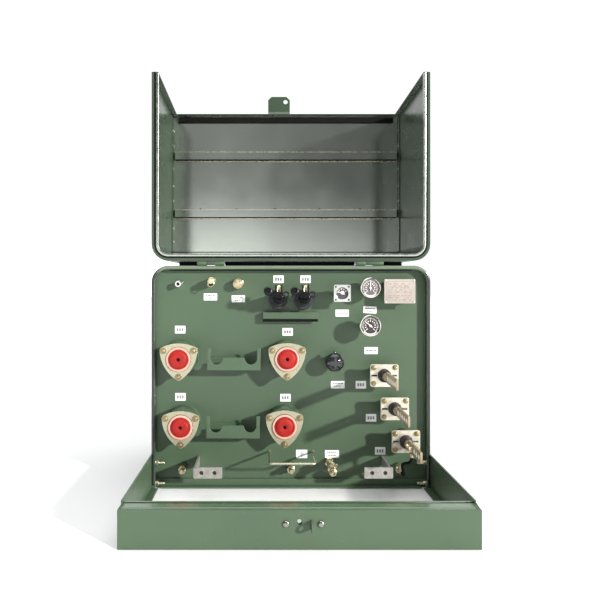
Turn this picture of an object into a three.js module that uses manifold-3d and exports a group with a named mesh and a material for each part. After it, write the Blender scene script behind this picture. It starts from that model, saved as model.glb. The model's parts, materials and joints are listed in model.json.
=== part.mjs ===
// Single-phase pad-mounted transformer with its cabinet hood swung fully open.
// Millimetres, +Z up, +X to the right, -Y towards a person standing at the cabinet.
// Depths are given as "front": the distance in front of the tank's front edge, so y = FRONT_EDGE_Y - front.

import * as THREE from 'three';
import { mergeVertices } from 'three/addons/utils/BufferGeometryUtils.js';
import Module from 'manifold-3d';

const wasm = await Module();
wasm.setup();

// ---------------------------------------------------------------- driving dimensions

const WIDTH = 1000;           // tank and hood across the front
const TANK_HEIGHT = 800;
const TANK_DEPTH = 520;
const TANK_WALL = 6;
const CORNER_RADIUS = 60;     // upper corners of tank and hood
const FACE_RECESS = 28;       // tank face behind the front edge of its lip
const LIP_EDGE = 12;
const LIP_FRONT = -2;
const COVER_SEAT = 775;       // height where the loose cover meets the tank
const FRONT_STRIP = 46;       // depth of the fixed strip ahead of the cover
const FIN_REACH = 96;
const CABINET_DEPTH = 480;
const SILL_HEIGHT = 110;
const SILL_SIDE_HEIGHT = 120.5;
const SILL_HALF_WIDTH = 505;
const SILL_SHEET = 4.7;
const SILL_LEDGE = 60;
const SILL_FLANGE = 24;
const SILL_BOLT_FRONT = -13;
const SILL_BOLT_HEIGHTS = [17, 91];
const HOOD_BOTTOM = 122;      // lower edge at the hinge side when the hood is closed
const HOOD_FRONT_BOTTOM = 144; // lower edge of its front panel, where the sides have sloped up to meet it
const HOOD_SHEET = 4;
const HOOD_RIM = 25;
const HOOD_FLANGE = 25;
const SEAL_INSET = 10;
const SEAL_WIDTH = 5;
const HINGE_HEIGHT = 809;
const HINGE_CENTRES = [-288, 283];
const HINGE_WIDTH = 96;
const KNUCKLE_RADIUS = 7;
const GAP = 0.3;              // clearance between touching pieces
const FRONT_EDGE_Y = -51.65;   // centres the whole body over the origin, front to back

const FACE = -FACE_RECESS;            // tank face
const ON_FACE = FACE + GAP;           // back of a piece standing on the face
const BEHIND_WALL = FACE - TANK_WALL - 20;

// Centres on the tank face, [x, z].
const HV_BUSHINGS = [[-396, 471], [-16, 472], [-389, 234], [-25, 236]];
const LV_BUSHINGS = [[326, 413], [363, 296], [402, 181]];
const FUSES = [[-46, 672], [46, 672]];
const FUSE_TILT = THREE.MathUtils.degToRad(12);
const PARKING_STANDS = [['parking_stand_upper', -203, 431], ['parking_stand_lower', -206, 192]];
const LEVEL_GAUGE = [179, 702];
const THERMOMETER = [280, 721];
const PRESSURE_GAUGE = [277, 588];
const NAMEPLATE = [384, 709];
const TAP_CHANGER = [154, 457];
const RELIEF_VALVE = [-285, 745];
const FILL_PLUG = [-190, 736];
const TEST_VALVE = [-405, 735];
const DRAIN_VALVE = [141, 89];
const GROUND_STUDS = [[-389, 71], [0, 71], [388, 71]];
const LATCH_HEIGHT = 80;

// ---------------------------------------------------------------- finishes

const greenPaint = { color: 0x5f7c5e, roughness: 0.45, metalness: 0.1 };
const hoodPaint = { color: 0x5a7659, roughness: 0.35, metalness: 0.15 };
const oxidePaint = { color: 0xdcdac3, roughness: 0.4, metalness: 0.3 };
const castEpoxy = { color: 0x2a2224, roughness: 0.5, metalness: 0 };
const redPlastic = { color: 0xcd2d23, roughness: 0.35, metalness: 0 };
const blackPlastic = { color: 0x141619, roughness: 0.3, metalness: 0 };
const blackRubber = { color: 0x111211, roughness: 0.8, metalness: 0 };
const bareSteel = { color: 0xc3beb9, roughness: 0.4, metalness: 0.8 };
const plainBrass = { color: 0xc8a860, roughness: 0.3, metalness: 0.9 };
const gaugeSteel = { color: 0xd8d8d4, roughness: 0.25, metalness: 0.85 };
const pointerPaint = { color: 0xe8e4dc, roughness: 0.5, metalness: 0 };
const plateSteel = { color: 0xe1d7cd, roughness: 0.45, metalness: 0.5 };
const coreSteel = { color: 0x55585c, roughness: 0.6, metalness: 0.7 };
const windingPaper = { color: 0xa98a5c, roughness: 0.8, metalness: 0 };

// ---------------------------------------------------------------- solids from three.js geometry

function solid(geometry) {
  geometry.deleteAttribute('normal');
  geometry.deleteAttribute('uv');
  const merged = mergeVertices(geometry, 1e-4);
  const index = merged.index.array;
  const triangles = [];
  for (let i = 0; i < index.length; i += 3) {
    const [a, b, c] = [index[i], index[i + 1], index[i + 2]];
    // A lathe's pole closes its triangles to a line, which a solid leaves out.
    if (a !== b && b !== c && c !== a) triangles.push(a, b, c);
  }
  return new wasm.Manifold(new wasm.Mesh({
    numProp: 3,
    vertProperties: new Float32Array(merged.attributes.position.array),
    triVerts: new Uint32Array(triangles),
  }));
}

// Radius of a many-sided hole whose flats still clear a round shank.
function clearing(radius, sides) {
  return (radius + GAP) / Math.cos(Math.PI / sides);
}

function joined(...pieces) {
  return pieces.flat().reduce((whole, piece) => whole.add(piece));
}

// Box between two x, two front and two z values.
function slab(x0, x1, back, front, z0, z1) {
  const geometry = new THREE.BoxGeometry(x1 - x0, front - back, z1 - z0);
  geometry.translate((x0 + x1) / 2, -(back + front) / 2, (z0 + z1) / 2);
  return solid(geometry);
}

// Round or many-sided bar pointing out of the face, narrowing to frontRadius where given.
function post(radius, back, front, sides, x = 0, z = 0, frontRadius = radius) {
  const geometry = new THREE.CylinderGeometry(radius, frontRadius, front - back, sides);
  geometry.translate(x, -(back + front) / 2, z);
  return solid(geometry);
}

// Round bar along X.
function barX(radius, x0, x1, front, z, sides) {
  const geometry = new THREE.CylinderGeometry(radius, radius, x1 - x0, sides);
  geometry.rotateZ(-Math.PI / 2);
  geometry.translate((x0 + x1) / 2, -front, z);
  return solid(geometry);
}

// Outline in x and z, given thickness from back to front.
function plate(outline, back, front, curveSegments = 3) {
  const options = { depth: front - back, bevelEnabled: false, curveSegments };
  const geometry = new THREE.ExtrudeGeometry(outline, options);
  geometry.rotateX(Math.PI / 2);
  geometry.translate(0, -back, 0);
  return solid(geometry);
}

// Outline in front and z, given width from x0 to x1.
function profileX(points, x0, x1) {
  const outline = new THREE.Shape(points.map(([front, z]) => new THREE.Vector2(front, z)));
  const geometry = new THREE.ExtrudeGeometry(outline, { depth: x1 - x0, bevelEnabled: false });
  const turn = new THREE.Matrix4().makeBasis(
    new THREE.Vector3(0, -1, 0), new THREE.Vector3(0, 0, 1), new THREE.Vector3(-1, 0, 0));
  geometry.applyMatrix4(turn);
  geometry.translate(x1, 0, 0);
  return solid(geometry);
}

// Turned piece pointing out of the face: [radius, front] pairs from its back to its front.
function turned(profile, sides) {
  const points = profile.map(([radius, front]) => new THREE.Vector2(radius, -front)).reverse();
  return solid(new THREE.LatheGeometry(points, sides));
}

// Round rod along a path of [x, front, z] corners, each corner rounded by bend.
function rod(corners, radius, bend, sides, steps) {
  const points = corners.map(([x, front, z]) => new THREE.Vector3(x, -front, z));
  const path = new THREE.CurvePath();
  let start = points[0];
  for (let i = 1; i < points.length - 1; i += 1) {
    const before = points[i].clone().add(points[i - 1].clone().sub(points[i]).setLength(bend));
    const after = points[i].clone().add(points[i + 1].clone().sub(points[i]).setLength(bend));
    path.add(new THREE.LineCurve3(start, before));
    path.add(new THREE.QuadraticBezierCurve3(before, points[i], after));
    start = after;
  }
  path.add(new THREE.LineCurve3(start, points[points.length - 1]));
  const section = new THREE.Shape();
  section.absarc(0, 0, radius, 0, 2 * Math.PI);
  return solid(new THREE.ExtrudeGeometry(section, {
    steps, curveSegments: sides / 2, extrudePath: path,
  }));
}

// ---------------------------------------------------------------- outlines

// Upright panel whose two upper corners are rounded.
function arch(halfWidth, bottom, top, radius) {
  const outline = new THREE.Shape();
  outline.moveTo(-halfWidth, bottom);
  outline.lineTo(halfWidth, bottom);
  outline.lineTo(halfWidth, top - radius);
  outline.absarc(halfWidth - radius, top - radius, radius, 0, Math.PI / 2);
  outline.lineTo(-halfWidth + radius, top);
  outline.absarc(-halfWidth + radius, top - radius, radius, Math.PI / 2, Math.PI);
  return outline;
}

function roundedRect(x0, x1, z0, z1, radius) {
  const outline = new THREE.Shape();
  outline.moveTo(x0 + radius, z0);
  outline.lineTo(x1 - radius, z0);
  outline.absarc(x1 - radius, z0 + radius, radius, -Math.PI / 2, 0);
  outline.lineTo(x1, z1 - radius);
  outline.absarc(x1 - radius, z1 - radius, radius, 0, Math.PI / 2);
  outline.lineTo(x0 + radius, z1);
  outline.absarc(x0 + radius, z1 - radius, radius, Math.PI / 2, Math.PI);
  outline.lineTo(x0, z0 + radius);
  outline.absarc(x0 + radius, z0 + radius, radius, Math.PI, 1.5 * Math.PI);
  return outline;
}

function polygon(points) {
  return new THREE.Shape(points.map(([x, z]) => new THREE.Vector2(x, z)));
}

// ---------------------------------------------------------------- scene graph

const transformer = new THREE.Group();
transformer.name = 'pad_mounted_transformer';

const cabinet = new THREE.Group();
cabinet.position.y = FRONT_EDGE_Y;
transformer.add(cabinet);

function addPart(parent, name, body, finish, { x = 0, front = 0, z = 0, tilt = 0 } = {}) {
  const mesh = body.getMesh();
  const geometry = new THREE.BufferGeometry();
  geometry.setAttribute('position', new THREE.BufferAttribute(mesh.vertProperties, 3));
  geometry.setIndex(new THREE.BufferAttribute(mesh.triVerts, 1));
  geometry.computeVertexNormals();
  const part = new THREE.Mesh(geometry, new THREE.MeshStandardMaterial(finish));
  part.name = name;
  part.position.set(x, -front, z);
  part.rotation.x = -tilt;
  parent.add(part);
}

// ---------------------------------------------------------------- tank

// Holes through the tank's front wall, [x, z, radius], for the shanks of the fittings below.
const HV_SHANK = 36;
const LV_SHANK = 17;
const GAUGE_SHANK = 9;
const PLUG_SHANK = 10;
const wallHoles = [
  ...HV_BUSHINGS.map(([x, z]) => [x, z, HV_SHANK]),
  ...LV_BUSHINGS.map(([x, z]) => [x, z, LV_SHANK]),
  ...[LEVEL_GAUGE, THERMOMETER, PRESSURE_GAUGE, TAP_CHANGER].map(([x, z]) => [x, z, GAUGE_SHANK]),
  ...[RELIEF_VALVE, FILL_PLUG, DRAIN_VALVE].map(([x, z]) => [x, z, PLUG_SHANK]),
];

// Post along a fuse's own slope, measured from the tank face.
function tiltedPost(radius, back, front, sides, [x, z]) {
  const geometry = new THREE.CylinderGeometry(radius, radius, front - back, sides);
  geometry.translate(0, -(back + front) / 2, 0);
  geometry.rotateX(-FUSE_TILT);
  geometry.translate(x, -FACE, z);
  return solid(geometry);
}

function hingeBarrels(centre) {
  const half = HINGE_WIDTH / 2;
  const third = HINGE_WIDTH / 3;
  const ends = [[centre - half, centre - half + third], [centre + half - third, centre + half]];
  const leaf = (x0, x1) => joined(
    slab(x0, x1, -FRONT_STRIP + 4, -3, TANK_HEIGHT - 1, TANK_HEIGHT + 4),
    slab(x0, x1, -9, -3, TANK_HEIGHT - 1, HINGE_HEIGHT - 2),
    barX(KNUCKLE_RADIUS, x0, x1, 0, HINGE_HEIGHT, 12),
  );
  const pin = barX(3, centre - half, centre + half, 0, HINGE_HEIGHT, 8);
  return joined(ends.map(([x0, x1]) => leaf(x0, x1)), pin);
}

function liftingLug(side, front) {
  const outline = new THREE.Shape();
  outline.moveTo(side * (WIDTH / 2 - 1), 640);
  outline.lineTo(side * (WIDTH / 2 + 38), 672);
  outline.lineTo(side * (WIDTH / 2 + 38), 704);
  outline.lineTo(side * (WIDTH / 2 + 24), 720);
  outline.lineTo(side * (WIDTH / 2 - 1), 720);
  const lug = plate(outline, front - 6, front + 6);
  return lug.subtract(post(9, front - 7, front + 7, 8, side * (WIDTH / 2 + 20), 694));
}

function tankShell() {
  const outer = arch(WIDTH / 2, 0, TANK_HEIGHT, CORNER_RADIUS);
  const inset = (edge, bottom) =>
    arch(WIDTH / 2 - edge, bottom, TANK_HEIGHT - edge, CORNER_RADIUS - edge);
  let shell = plate(outer, -TANK_DEPTH, LIP_FRONT);
  shell = shell.subtract(plate(inset(TANK_WALL, TANK_WALL), -TANK_DEPTH + TANK_WALL, FACE - TANK_WALL));
  shell = shell.subtract(slab(-501, 501, -TANK_DEPTH - 1, -FRONT_STRIP, COVER_SEAT, TANK_HEIGHT + 1));
  shell = shell.subtract(plate(inset(LIP_EDGE, -1), FACE, 1));
  const baseBand = slab(-WIDTH / 2 + LIP_EDGE - 1, WIDTH / 2 - LIP_EDGE + 1, FACE - 1, FACE + 7, 0, 30);
  const wellBosses = HV_BUSHINGS.map(([x, z]) => post(60, FACE - 1, 30, 20, x, z));
  const groundBosses = GROUND_STUDS.map(([x, z]) => joined(
    post(16, FACE - 1, -10, 12, x, z),
    post(14, -10.5, 8, 6, x, z),
    post(8, 7, 32, 8, x, z),
  ));
  const fuseBosses = FUSES.map((centre) => tiltedPost(31, -20, 18, 16, centre)
    .intersect(slab(-100, 100, FACE - 1, 60, 560, 790)));
  const lugs = [-1, 1].flatMap((side) => [-300, -470].map((front) => liftingLug(side, front)));
  const hinges = HINGE_CENTRES.map(hingeBarrels);
  shell = joined(shell, baseBand, wellBosses, groundBosses, fuseBosses, lugs, hinges);
  for (const [x, z, radius] of wallHoles) {
    shell = shell.subtract(post(clearing(radius, 16), FACE - TANK_WALL - 1, 31, 16, x, z));
  }
  for (const centre of FUSES) shell = shell.subtract(tiltedPost(clearing(24, 16), -40, 20, 16, centre));
  for (const z of SILL_BOLT_HEIGHTS) {
    for (const side of [-1, 1]) {
      const [x0, x1] = [side * 485, side * 502].sort((a, b) => a - b);
      shell = shell.subtract(barX(5 + GAP, x0, x1, SILL_BOLT_FRONT, z, 8));
    }
  }
  return shell;
}

function tankCover() {
  const height = [COVER_SEAT + GAP, TANK_HEIGHT];
  const outer = plate(arch(WIDTH / 2, 0, TANK_HEIGHT, CORNER_RADIUS), -TANK_DEPTH, -FRONT_STRIP - GAP);
  const inner = plate(arch(WIDTH / 2 - TANK_WALL, 0, TANK_HEIGHT - TANK_WALL, CORNER_RADIUS - TANK_WALL),
    -TANK_DEPTH + TANK_WALL, -FRONT_STRIP - GAP - TANK_WALL);
  return outer.subtract(inner).intersect(slab(-501, 501, -TANK_DEPTH - 1, 0, ...height));
}

function radiatorPanel() {
  const count = 13;
  const pitch = 66;
  const back = -TANK_DEPTH - GAP;
  const header = slab(-410, 410, back - 5, back, 110, 710);
  const fins = Array.from({ length: count }, (_, i) => {
    const x = (i - (count - 1) / 2) * pitch;
    return slab(x - 4, x + 4, back - 5 - FIN_REACH, back - 4, 130, 690);
  });
  return joined(header, fins);
}

addPart(cabinet, 'tank_shell', tankShell(), greenPaint);
addPart(cabinet, 'tank_cover', tankCover(), greenPaint);
addPart(cabinet, 'radiator_panel', radiatorPanel(), greenPaint);

// ---------------------------------------------------------------- core and coils inside the tank

const CORE_FRONT = -280;      // middle of the core, front to back

// Rectangular ring wound round the core's upright middle limb.
function coil(halfInner, halfOuter) {
  const [x0, depth0] = halfInner;
  const [x1, depth1] = halfOuter;
  return slab(-x1, x1, CORE_FRONT - depth1, CORE_FRONT + depth1, 116, 524)
    .subtract(slab(-x0, x0, CORE_FRONT - depth0, CORE_FRONT + depth0, 115, 525));
}

function laminatedCore() {
  const stack = slab(-230, 230, CORE_FRONT - 90, CORE_FRONT + 90, TANK_WALL + GAP, 620);
  const window = (x0, x1) => slab(x0, x1, CORE_FRONT - 91, CORE_FRONT + 91, 110, 530);
  return stack.subtract(window(-150, -60)).subtract(window(60, 150));
}

addPart(cabinet, 'core', laminatedCore(), coreSteel);
addPart(cabinet, 'coil_lv', coil([62, 92], [100, 130]), windingPaper);
addPart(cabinet, 'coil_hv', coil([102, 132], [147, 176]), windingPaper);

// ---------------------------------------------------------------- cabinet sill and padlock staple

const STAPLE_X = 33;
const STAPLE_HEIGHTS = [57, 83];
const DOME_BOLTS = [[-37, 72], [60, 72]];
const SILL_HOLE = [0, 77];

function sillFrame() {
  const inner = SILL_HALF_WIDTH - SILL_SHEET;
  const front = CABINET_DEPTH;
  const ledgeBack = front - SILL_LEDGE;
  const pieces = [
    [front - SILL_SHEET, front, 0, SILL_HEIGHT],
    [ledgeBack, front, SILL_HEIGHT - SILL_SHEET, SILL_HEIGHT],
    [ledgeBack, ledgeBack + 4, SILL_HEIGHT - 14, SILL_HEIGHT],
    [front - SILL_FLANGE, front, 0, SILL_SHEET],
  ].map((section) => slab(-SILL_HALF_WIDTH, SILL_HALF_WIDTH, ...section));
  for (const side of [-1, 1]) {
    const span = (a, b) => [side * a, side * b].sort((p, q) => p - q);
    pieces.push(slab(...span(inner, SILL_HALF_WIDTH), -42, front, 0, SILL_HEIGHT));
    pieces.push(slab(...span(inner, SILL_HALF_WIDTH), -42, ledgeBack + 16, 0, SILL_SIDE_HEIGHT));
    pieces.push(slab(...span(inner - SILL_FLANGE, inner + 1), 4, front, 0, SILL_SHEET));
    for (const z of SILL_BOLT_HEIGHTS) {
      pieces.push(barX(5, ...span(452, inner + 1), SILL_BOLT_FRONT, z, 8));
      pieces.push(barX(9, ...span(SILL_HALF_WIDTH - 1, SILL_HALF_WIDTH + 3), SILL_BOLT_FRONT, z, 8));
    }
  }
  let sill = joined(pieces);
  const through = [front - SILL_SHEET - 1, front + 1];
  sill = sill.subtract(post(8, ...through, 12, ...SILL_HOLE));
  for (const bolt of DOME_BOLTS) sill = sill.subtract(post(4 + GAP, ...through, 8, ...bolt));
  const [bottom, top] = STAPLE_HEIGHTS;
  const slot = slab(STAPLE_X - 2 - GAP, STAPLE_X + 2 + GAP, ...through, bottom - GAP, top + GAP);
  return sill.subtract(slot);
}

function padlockStaple() {
  const back = CABINET_DEPTH - SILL_SHEET - GAP;
  const [bottom, top] = STAPLE_HEIGHTS;
  const middle = (bottom + top) / 2;
  const tip = CABINET_DEPTH + 38 - (top - bottom) / 2;
  const strip = slab(-52, 76, back - 4, back, 55, 90)
    .subtract(post(6, back - 5, back + 1, 12, ...SILL_HOLE));
  let tongue = joined(
    slab(STAPLE_X - 2, STAPLE_X + 2, back - 1, tip, bottom, top),
    barX((top - bottom) / 2, STAPLE_X - 2, STAPLE_X + 2, tip, middle, 14),
  );
  tongue = tongue.subtract(barX(6.5, STAPLE_X - 3, STAPLE_X + 3, tip, middle, 12));
  const bolts = DOME_BOLTS.map(([x, z]) => joined(
    post(4, back - 1, CABINET_DEPTH + 1, 8, x, z),
    post(8.8, CABINET_DEPTH + GAP, CABINET_DEPTH + 2.5, 12, x, z, 8),
    post(8, CABINET_DEPTH + 2, CABINET_DEPTH + 5.5, 12, x, z, 3.5),
  ));
  return joined(strip, tongue, bolts);
}

addPart(cabinet, 'sill_frame', sillFrame(), greenPaint);
addPart(cabinet, 'padlock_staple', padlockStaple(), greenPaint);

// ---------------------------------------------------------------- high-voltage bushings

const HV_BOLT_CIRCLE = 61;
const HV_BOLT_ANGLES = [-90, 30, 150].map(THREE.MathUtils.degToRad);

// Triangle with rounded corners and bulging sides, one corner pointing down.
function clampOutline() {
  const cornerRadius = 14;
  const cornerReach = 74 - cornerRadius;
  const sideReach = 56;
  // Centre distance of each side's arc, so that it runs into the corner arcs without a kink.
  const along = cornerReach / 2;
  const across = cornerReach * Math.sqrt(3) / 2;
  const inside = sideReach - cornerRadius;
  const offset = (along ** 2 + across ** 2 - inside ** 2) / (2 * (inside - along));
  const sideRadius = sideReach + offset;
  const halfSpan = Math.atan2(across, along + offset);
  const points = [];
  HV_BOLT_ANGLES.forEach((corner) => {
    const next = corner + Math.PI / 3;
    const [cx, cz] = [Math.cos(corner) * cornerReach, Math.sin(corner) * cornerReach];
    for (let i = -1; i < 1; i += 1) {
      const angle = corner + (Math.PI / 3 - halfSpan) * i;
      points.push([cx + Math.cos(angle) * cornerRadius, cz + Math.sin(angle) * cornerRadius]);
    }
    const [ax, az] = [-Math.cos(next) * offset, -Math.sin(next) * offset];
    for (let i = -2; i < 2; i += 1) {
      const angle = next + halfSpan * i / 2;
      points.push([ax + Math.cos(angle) * sideRadius, az + Math.sin(angle) * sideRadius]);
    }
  });
  return polygon(points);
}

function hvWell() {
  const body = turned([
    [0, -70], [HV_SHANK, -70], [HV_SHANK, 30 + GAP], [50, 30 + GAP], [50, 44.5], [43.5, 44.5],
    [43.5, 56], [0, 56],
  ], 20);
  return body.subtract(post(26, 10, 57, 16));
}

function hvClamp() {
  const flange = plate(clampOutline(), 45, 53).subtract(post(43.5 + GAP, 44, 54, 20));
  const bolts = HV_BOLT_ANGLES.map((angle) => {
    const [x, z] = [Math.cos(angle) * HV_BOLT_CIRCLE, Math.sin(angle) * HV_BOLT_CIRCLE];
    return joined(post(4, 30 + GAP, 46, 8, x, z), post(8, 52, 59, 6, x, z));
  });
  return joined(flange, bolts);
}

function dustCap() {
  const cap = turned([
    [0, 14], [25.4, 14], [25.4, 56 + GAP], [33.5, 56 + GAP], [33.5, 61], [30, 65], [0, 65],
  ], 20);
  return cap.subtract(post(6, 60, 66, 8));
}

HV_BUSHINGS.forEach(([x, z], i) => {
  addPart(cabinet, `hv_well_${i + 1}`, hvWell(), castEpoxy, { x, z });
  addPart(cabinet, `hv_clamp_${i + 1}`, hvClamp(), oxidePaint, { x, z });
  addPart(cabinet, `dust_cap_${i + 1}`, dustCap(), redPlastic, { x, z });
});

// ---------------------------------------------------------------- parking stands

const STAND_WIDTH = 188;
const STAND_FRONT = 42;
const SLOT_RADIUS = 21.6;
const SLOT_CENTRES = [-61, 60];

function parkingStand() {
  const half = STAND_WIDTH / 2;
  const slot = (x) => joined(
    post(SLOT_RADIUS, STAND_FRONT - 6, STAND_FRONT + 1, 16, x, 21 + SLOT_RADIUS),
    slab(x - SLOT_RADIUS, x + SLOT_RADIUS, STAND_FRONT - 6, STAND_FRONT + 1, 21 + SLOT_RADIUS, 90),
  );
  const [left, right] = SLOT_CENTRES;
  let front = slab(-half, half, STAND_FRONT - 4, STAND_FRONT, 0, 78);
  front = front.subtract(slot(left)).subtract(slot(right));
  front = front.subtract(slab(left + 10, right - 10, STAND_FRONT - 6, STAND_FRONT + 1, 45, 90));
  const shelf = slab(-half, half, ON_FACE, STAND_FRONT - 2, 0, 4);
  const back = slab(-half, half, ON_FACE, ON_FACE + 4, 0, 40);
  return joined(front, shelf, back);
}

for (const [name, x, z] of PARKING_STANDS) addPart(cabinet, name, parkingStand(), greenPaint, { x, z });

// ---------------------------------------------------------------- low-voltage bushings

const SPADE_TIP = 241;
const SPADE_HALF_HEIGHT = 18;
const SPADE_HALF_THICKNESS = 3.5;

function lvBushing() {
  return turned([
    [0, BEHIND_WALL - 10], [LV_SHANK, BEHIND_WALL - 10], [LV_SHANK, ON_FACE], [30, ON_FACE], [30, 33.5],
    [21, 33.5], [21, 62], [17, 70], [0, 70],
  ], 16);
}

function lvClamp() {
  const sheet = plate(roundedRect(-49.5, 49.5, -39.5, 39.5, 8), 34, 42, 1)
    .subtract(post(21 + GAP, 33, 43, 16));
  const slits = [-1, 1].map((side) => slab(...[side * 26, side * 41].sort((a, b) => a - b), 39, 43, -3, 3));
  const studs = [[-38, -28], [38, -28], [-38, 28], [38, 28]].map(([x, z]) => joined(
    post(3.5, ON_FACE, 35, 6, x, z),
    post(8.5, 41, 49, 6, x, z),
  ));
  return joined(slits.reduce((whole, slit) => whole.subtract(slit), sheet), studs);
}

function lvSpade() {
  const blank = slab(-SPADE_HALF_THICKNESS, SPADE_HALF_THICKNESS, 70 + GAP + 14, SPADE_TIP,
    -SPADE_HALF_HEIGHT, SPADE_HALF_HEIGHT);
  const collar = post(13, 70 + GAP, 90, 14);
  const holes = [108, 137, 166, 195, 224].map((front) => barX(6.5, -5, 5, front, 0, 8));
  return holes.reduce((whole, hole) => whole.subtract(hole), joined(blank, collar));
}

LV_BUSHINGS.forEach(([x, z], i) => {
  addPart(cabinet, `lv_bushing_${i + 1}`, lvBushing(), castEpoxy, { x, z });
  addPart(cabinet, `lv_clamp_${i + 1}`, lvClamp(), bareSteel, { x, z });
  addPart(cabinet, `lv_spade_${i + 1}`, lvSpade(), bareSteel, { x, z });
});

// ---------------------------------------------------------------- fuses and drip tray

const FUSE_BORE = 17;
const HANDLE_PIVOT = 100;     // from the face, along the fuse's slope

function fuseHousing() {
  return turned([
    [FUSE_BORE, -62], [24, -62], [24, 18 + GAP], [30, 18 + GAP], [30, 26], [24, 28], [24, 58],
    [FUSE_BORE, 58],
    [FUSE_BORE, -62],
  ], 16);
}

function fuseHolder() {
  const rodRadius = FUSE_BORE - GAP;
  const body = turned([
    [0, -58], [rodRadius, -58], [rodRadius, 58 + GAP], [22, 58 + GAP], [22, 80], [18, 90], [0, 90],
  ], 16);
  const ears = [[-13, -9], [9, 13]].map(([x0, x1]) => joined(
    slab(x0, x1, 85, HANDLE_PIVOT, -9, 9),
    barX(9, x0, x1, HANDLE_PIVOT, 0, 12),
  ));
  return joined(body, ears, barX(3, -12, 12, HANDLE_PIVOT, 0, 8));
}

function fuseHandle() {
  const front = HANDLE_PIVOT + 10.5;
  const hub = joined(
    barX(8.5, -8.5, 8.5, HANDLE_PIVOT, 0, 12),
    slab(-8.5, 8.5, HANDLE_PIVOT, front + 6, -7, 7),
  ).subtract(barX(3 + GAP, -9, 9, HANDLE_PIVOT, 0, 8));
  const arm = plate(polygon([[8, -7], [8, 8], [-32, 33], [-42, 18], [-8, -7]]), front, front + 6);
  const knob = turned([
    [0, front - 6], [10, front - 6], [13, front], [13, front + 12], [9, front + 16], [0, front + 16],
  ], 12);
  const eyeArm = slab(6, 22, front, front + 6, 1, 9);
  const eye = post(10, front, front + 6, 12, 26, 6).subtract(post(5.5, front - 1, front + 7, 10, 26, 6));
  const openArm = eyeArm.subtract(post(8, front - 1, front + 7, 10, 26, 6));
  return joined(hub, arm, openArm, eye, shifted(knob, -38, 24));
}

// Same piece moved across the face.
function shifted(body, x, z) {
  const mesh = body.getMesh();
  const vertProperties = mesh.vertProperties.map((value, i) => value + [x, 0, z][i % 3]);
  return new wasm.Manifold(new wasm.Mesh({ numProp: 3, vertProperties, triVerts: mesh.triVerts }));
}

function dripTray() {
  const tray = slab(-101, 97, ON_FACE, -2, 609, 633);
  return tray.subtract(slab(-98, 94, ON_FACE + 3, -4.5, 611.5, 634));
}

FUSES.forEach(([x, z], i) => {
  const place = { x, front: FACE, z, tilt: FUSE_TILT };
  addPart(cabinet, `fuse_housing_${i + 1}`, fuseHousing(), blackPlastic, place);
  addPart(cabinet, `fuse_holder_${i + 1}`, fuseHolder(), blackPlastic, place);
  addPart(cabinet, `fuse_handle_${i + 1}`, fuseHandle(), blackPlastic, place);
});
addPart(cabinet, 'drip_tray', dripTray(), greenPaint);

// ---------------------------------------------------------------- gauges and nameplate

const DIAL_RECESS = 7;

// Round case with a sunken dial, a shank through the wall and a shaft for the pointer.
function gaugeCase(radius, dialRadius, front) {
  return turned([
    [0, BEHIND_WALL], [GAUGE_SHANK, BEHIND_WALL], [GAUGE_SHANK, ON_FACE], [15, ON_FACE], [15, front - 26],
    [radius - 5, front - 24], [radius, front - 18], [radius, front], [dialRadius, front],
    [dialRadius, front - DIAL_RECESS], [1.2, front - DIAL_RECESS], [1.2, front - 2], [0, front - 2],
  ], 20);
}

function squareGauge(half, dialRadius, front) {
  const rim = plate(roundedRect(-half, half, -half, half, 5), front - 6, front, 1)
    .subtract(post(dialRadius + 1, front - 8, front + 1, 20));
  const screws = [[-1, -1], [1, -1], [-1, 1], [1, 1]]
    .map(([i, k]) => post(3.2, front - 1, front + 1.5, 8, i * (half - 7), k * (half - 7)));
  return joined(gaugeCase(dialRadius + 4, dialRadius, front), rim, screws);
}

// Needle on its hub, pointing up and turned clockwise by bearing degrees.
function needle(length, front, bearing) {
  const angle = THREE.MathUtils.degToRad(90 - bearing);
  const along = (distance, aside) => [
    Math.cos(angle) * distance - Math.sin(angle) * aside,
    Math.sin(angle) * distance + Math.cos(angle) * aside,
  ];
  const blade = plate(polygon([along(-8, 1.8), along(-8, -1.8), along(length, -0.8), along(length, 0.8)]),
    front - 5, front - 3.5);
  return joined(blade, post(3.6, front - 5, front - 3, 10))
    .subtract(post(1.2 + GAP, front - 6, front - 2, 8));
}

const gauges = [
  ['level', LEVEL_GAUGE, squareGauge(30, 21, 37), 17, 37, -68],
  ['thermometer', THERMOMETER, gaugeCase(36, 31, 32), 26, 32, 0],
  ['pressure', PRESSURE_GAUGE, gaugeCase(38, 32.5, 47), 27, 47, -50],
];
for (const [name, [x, z], body, length, front, bearing] of gauges) {
  addPart(cabinet, `${name}_gauge`, body, gaugeSteel, { x, z });
  addPart(cabinet, `${name}_pointer`, needle(length, front, bearing), pointerPaint, { x, z });
}

function nameplate() {
  const legs = [-42, 38].map((x) => slab(x, x + 4, ON_FACE, 24, -38, 38));
  const feet = [-54, 38].map((x) => slab(x, x + 16, ON_FACE, ON_FACE + 3, -38, 38));
  return joined(slab(-55, 55, 23, 26, -43, 43), legs, feet);
}

addPart(cabinet, 'nameplate', nameplate(), plateSteel, { x: NAMEPLATE[0], z: NAMEPLATE[1] });

// ---------------------------------------------------------------- tap changer and valves

const KNOB_SHAFT = 6;

function tapChanger() {
  return turned([
    [0, BEHIND_WALL], [GAUGE_SHANK, BEHIND_WALL], [GAUGE_SHANK, ON_FACE], [24, ON_FACE], [24, -14],
    [16, -12], [16, 10], [KNOB_SHAFT, 10], [KNOB_SHAFT, 36], [0, 36],
  ], 16);
}

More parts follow.
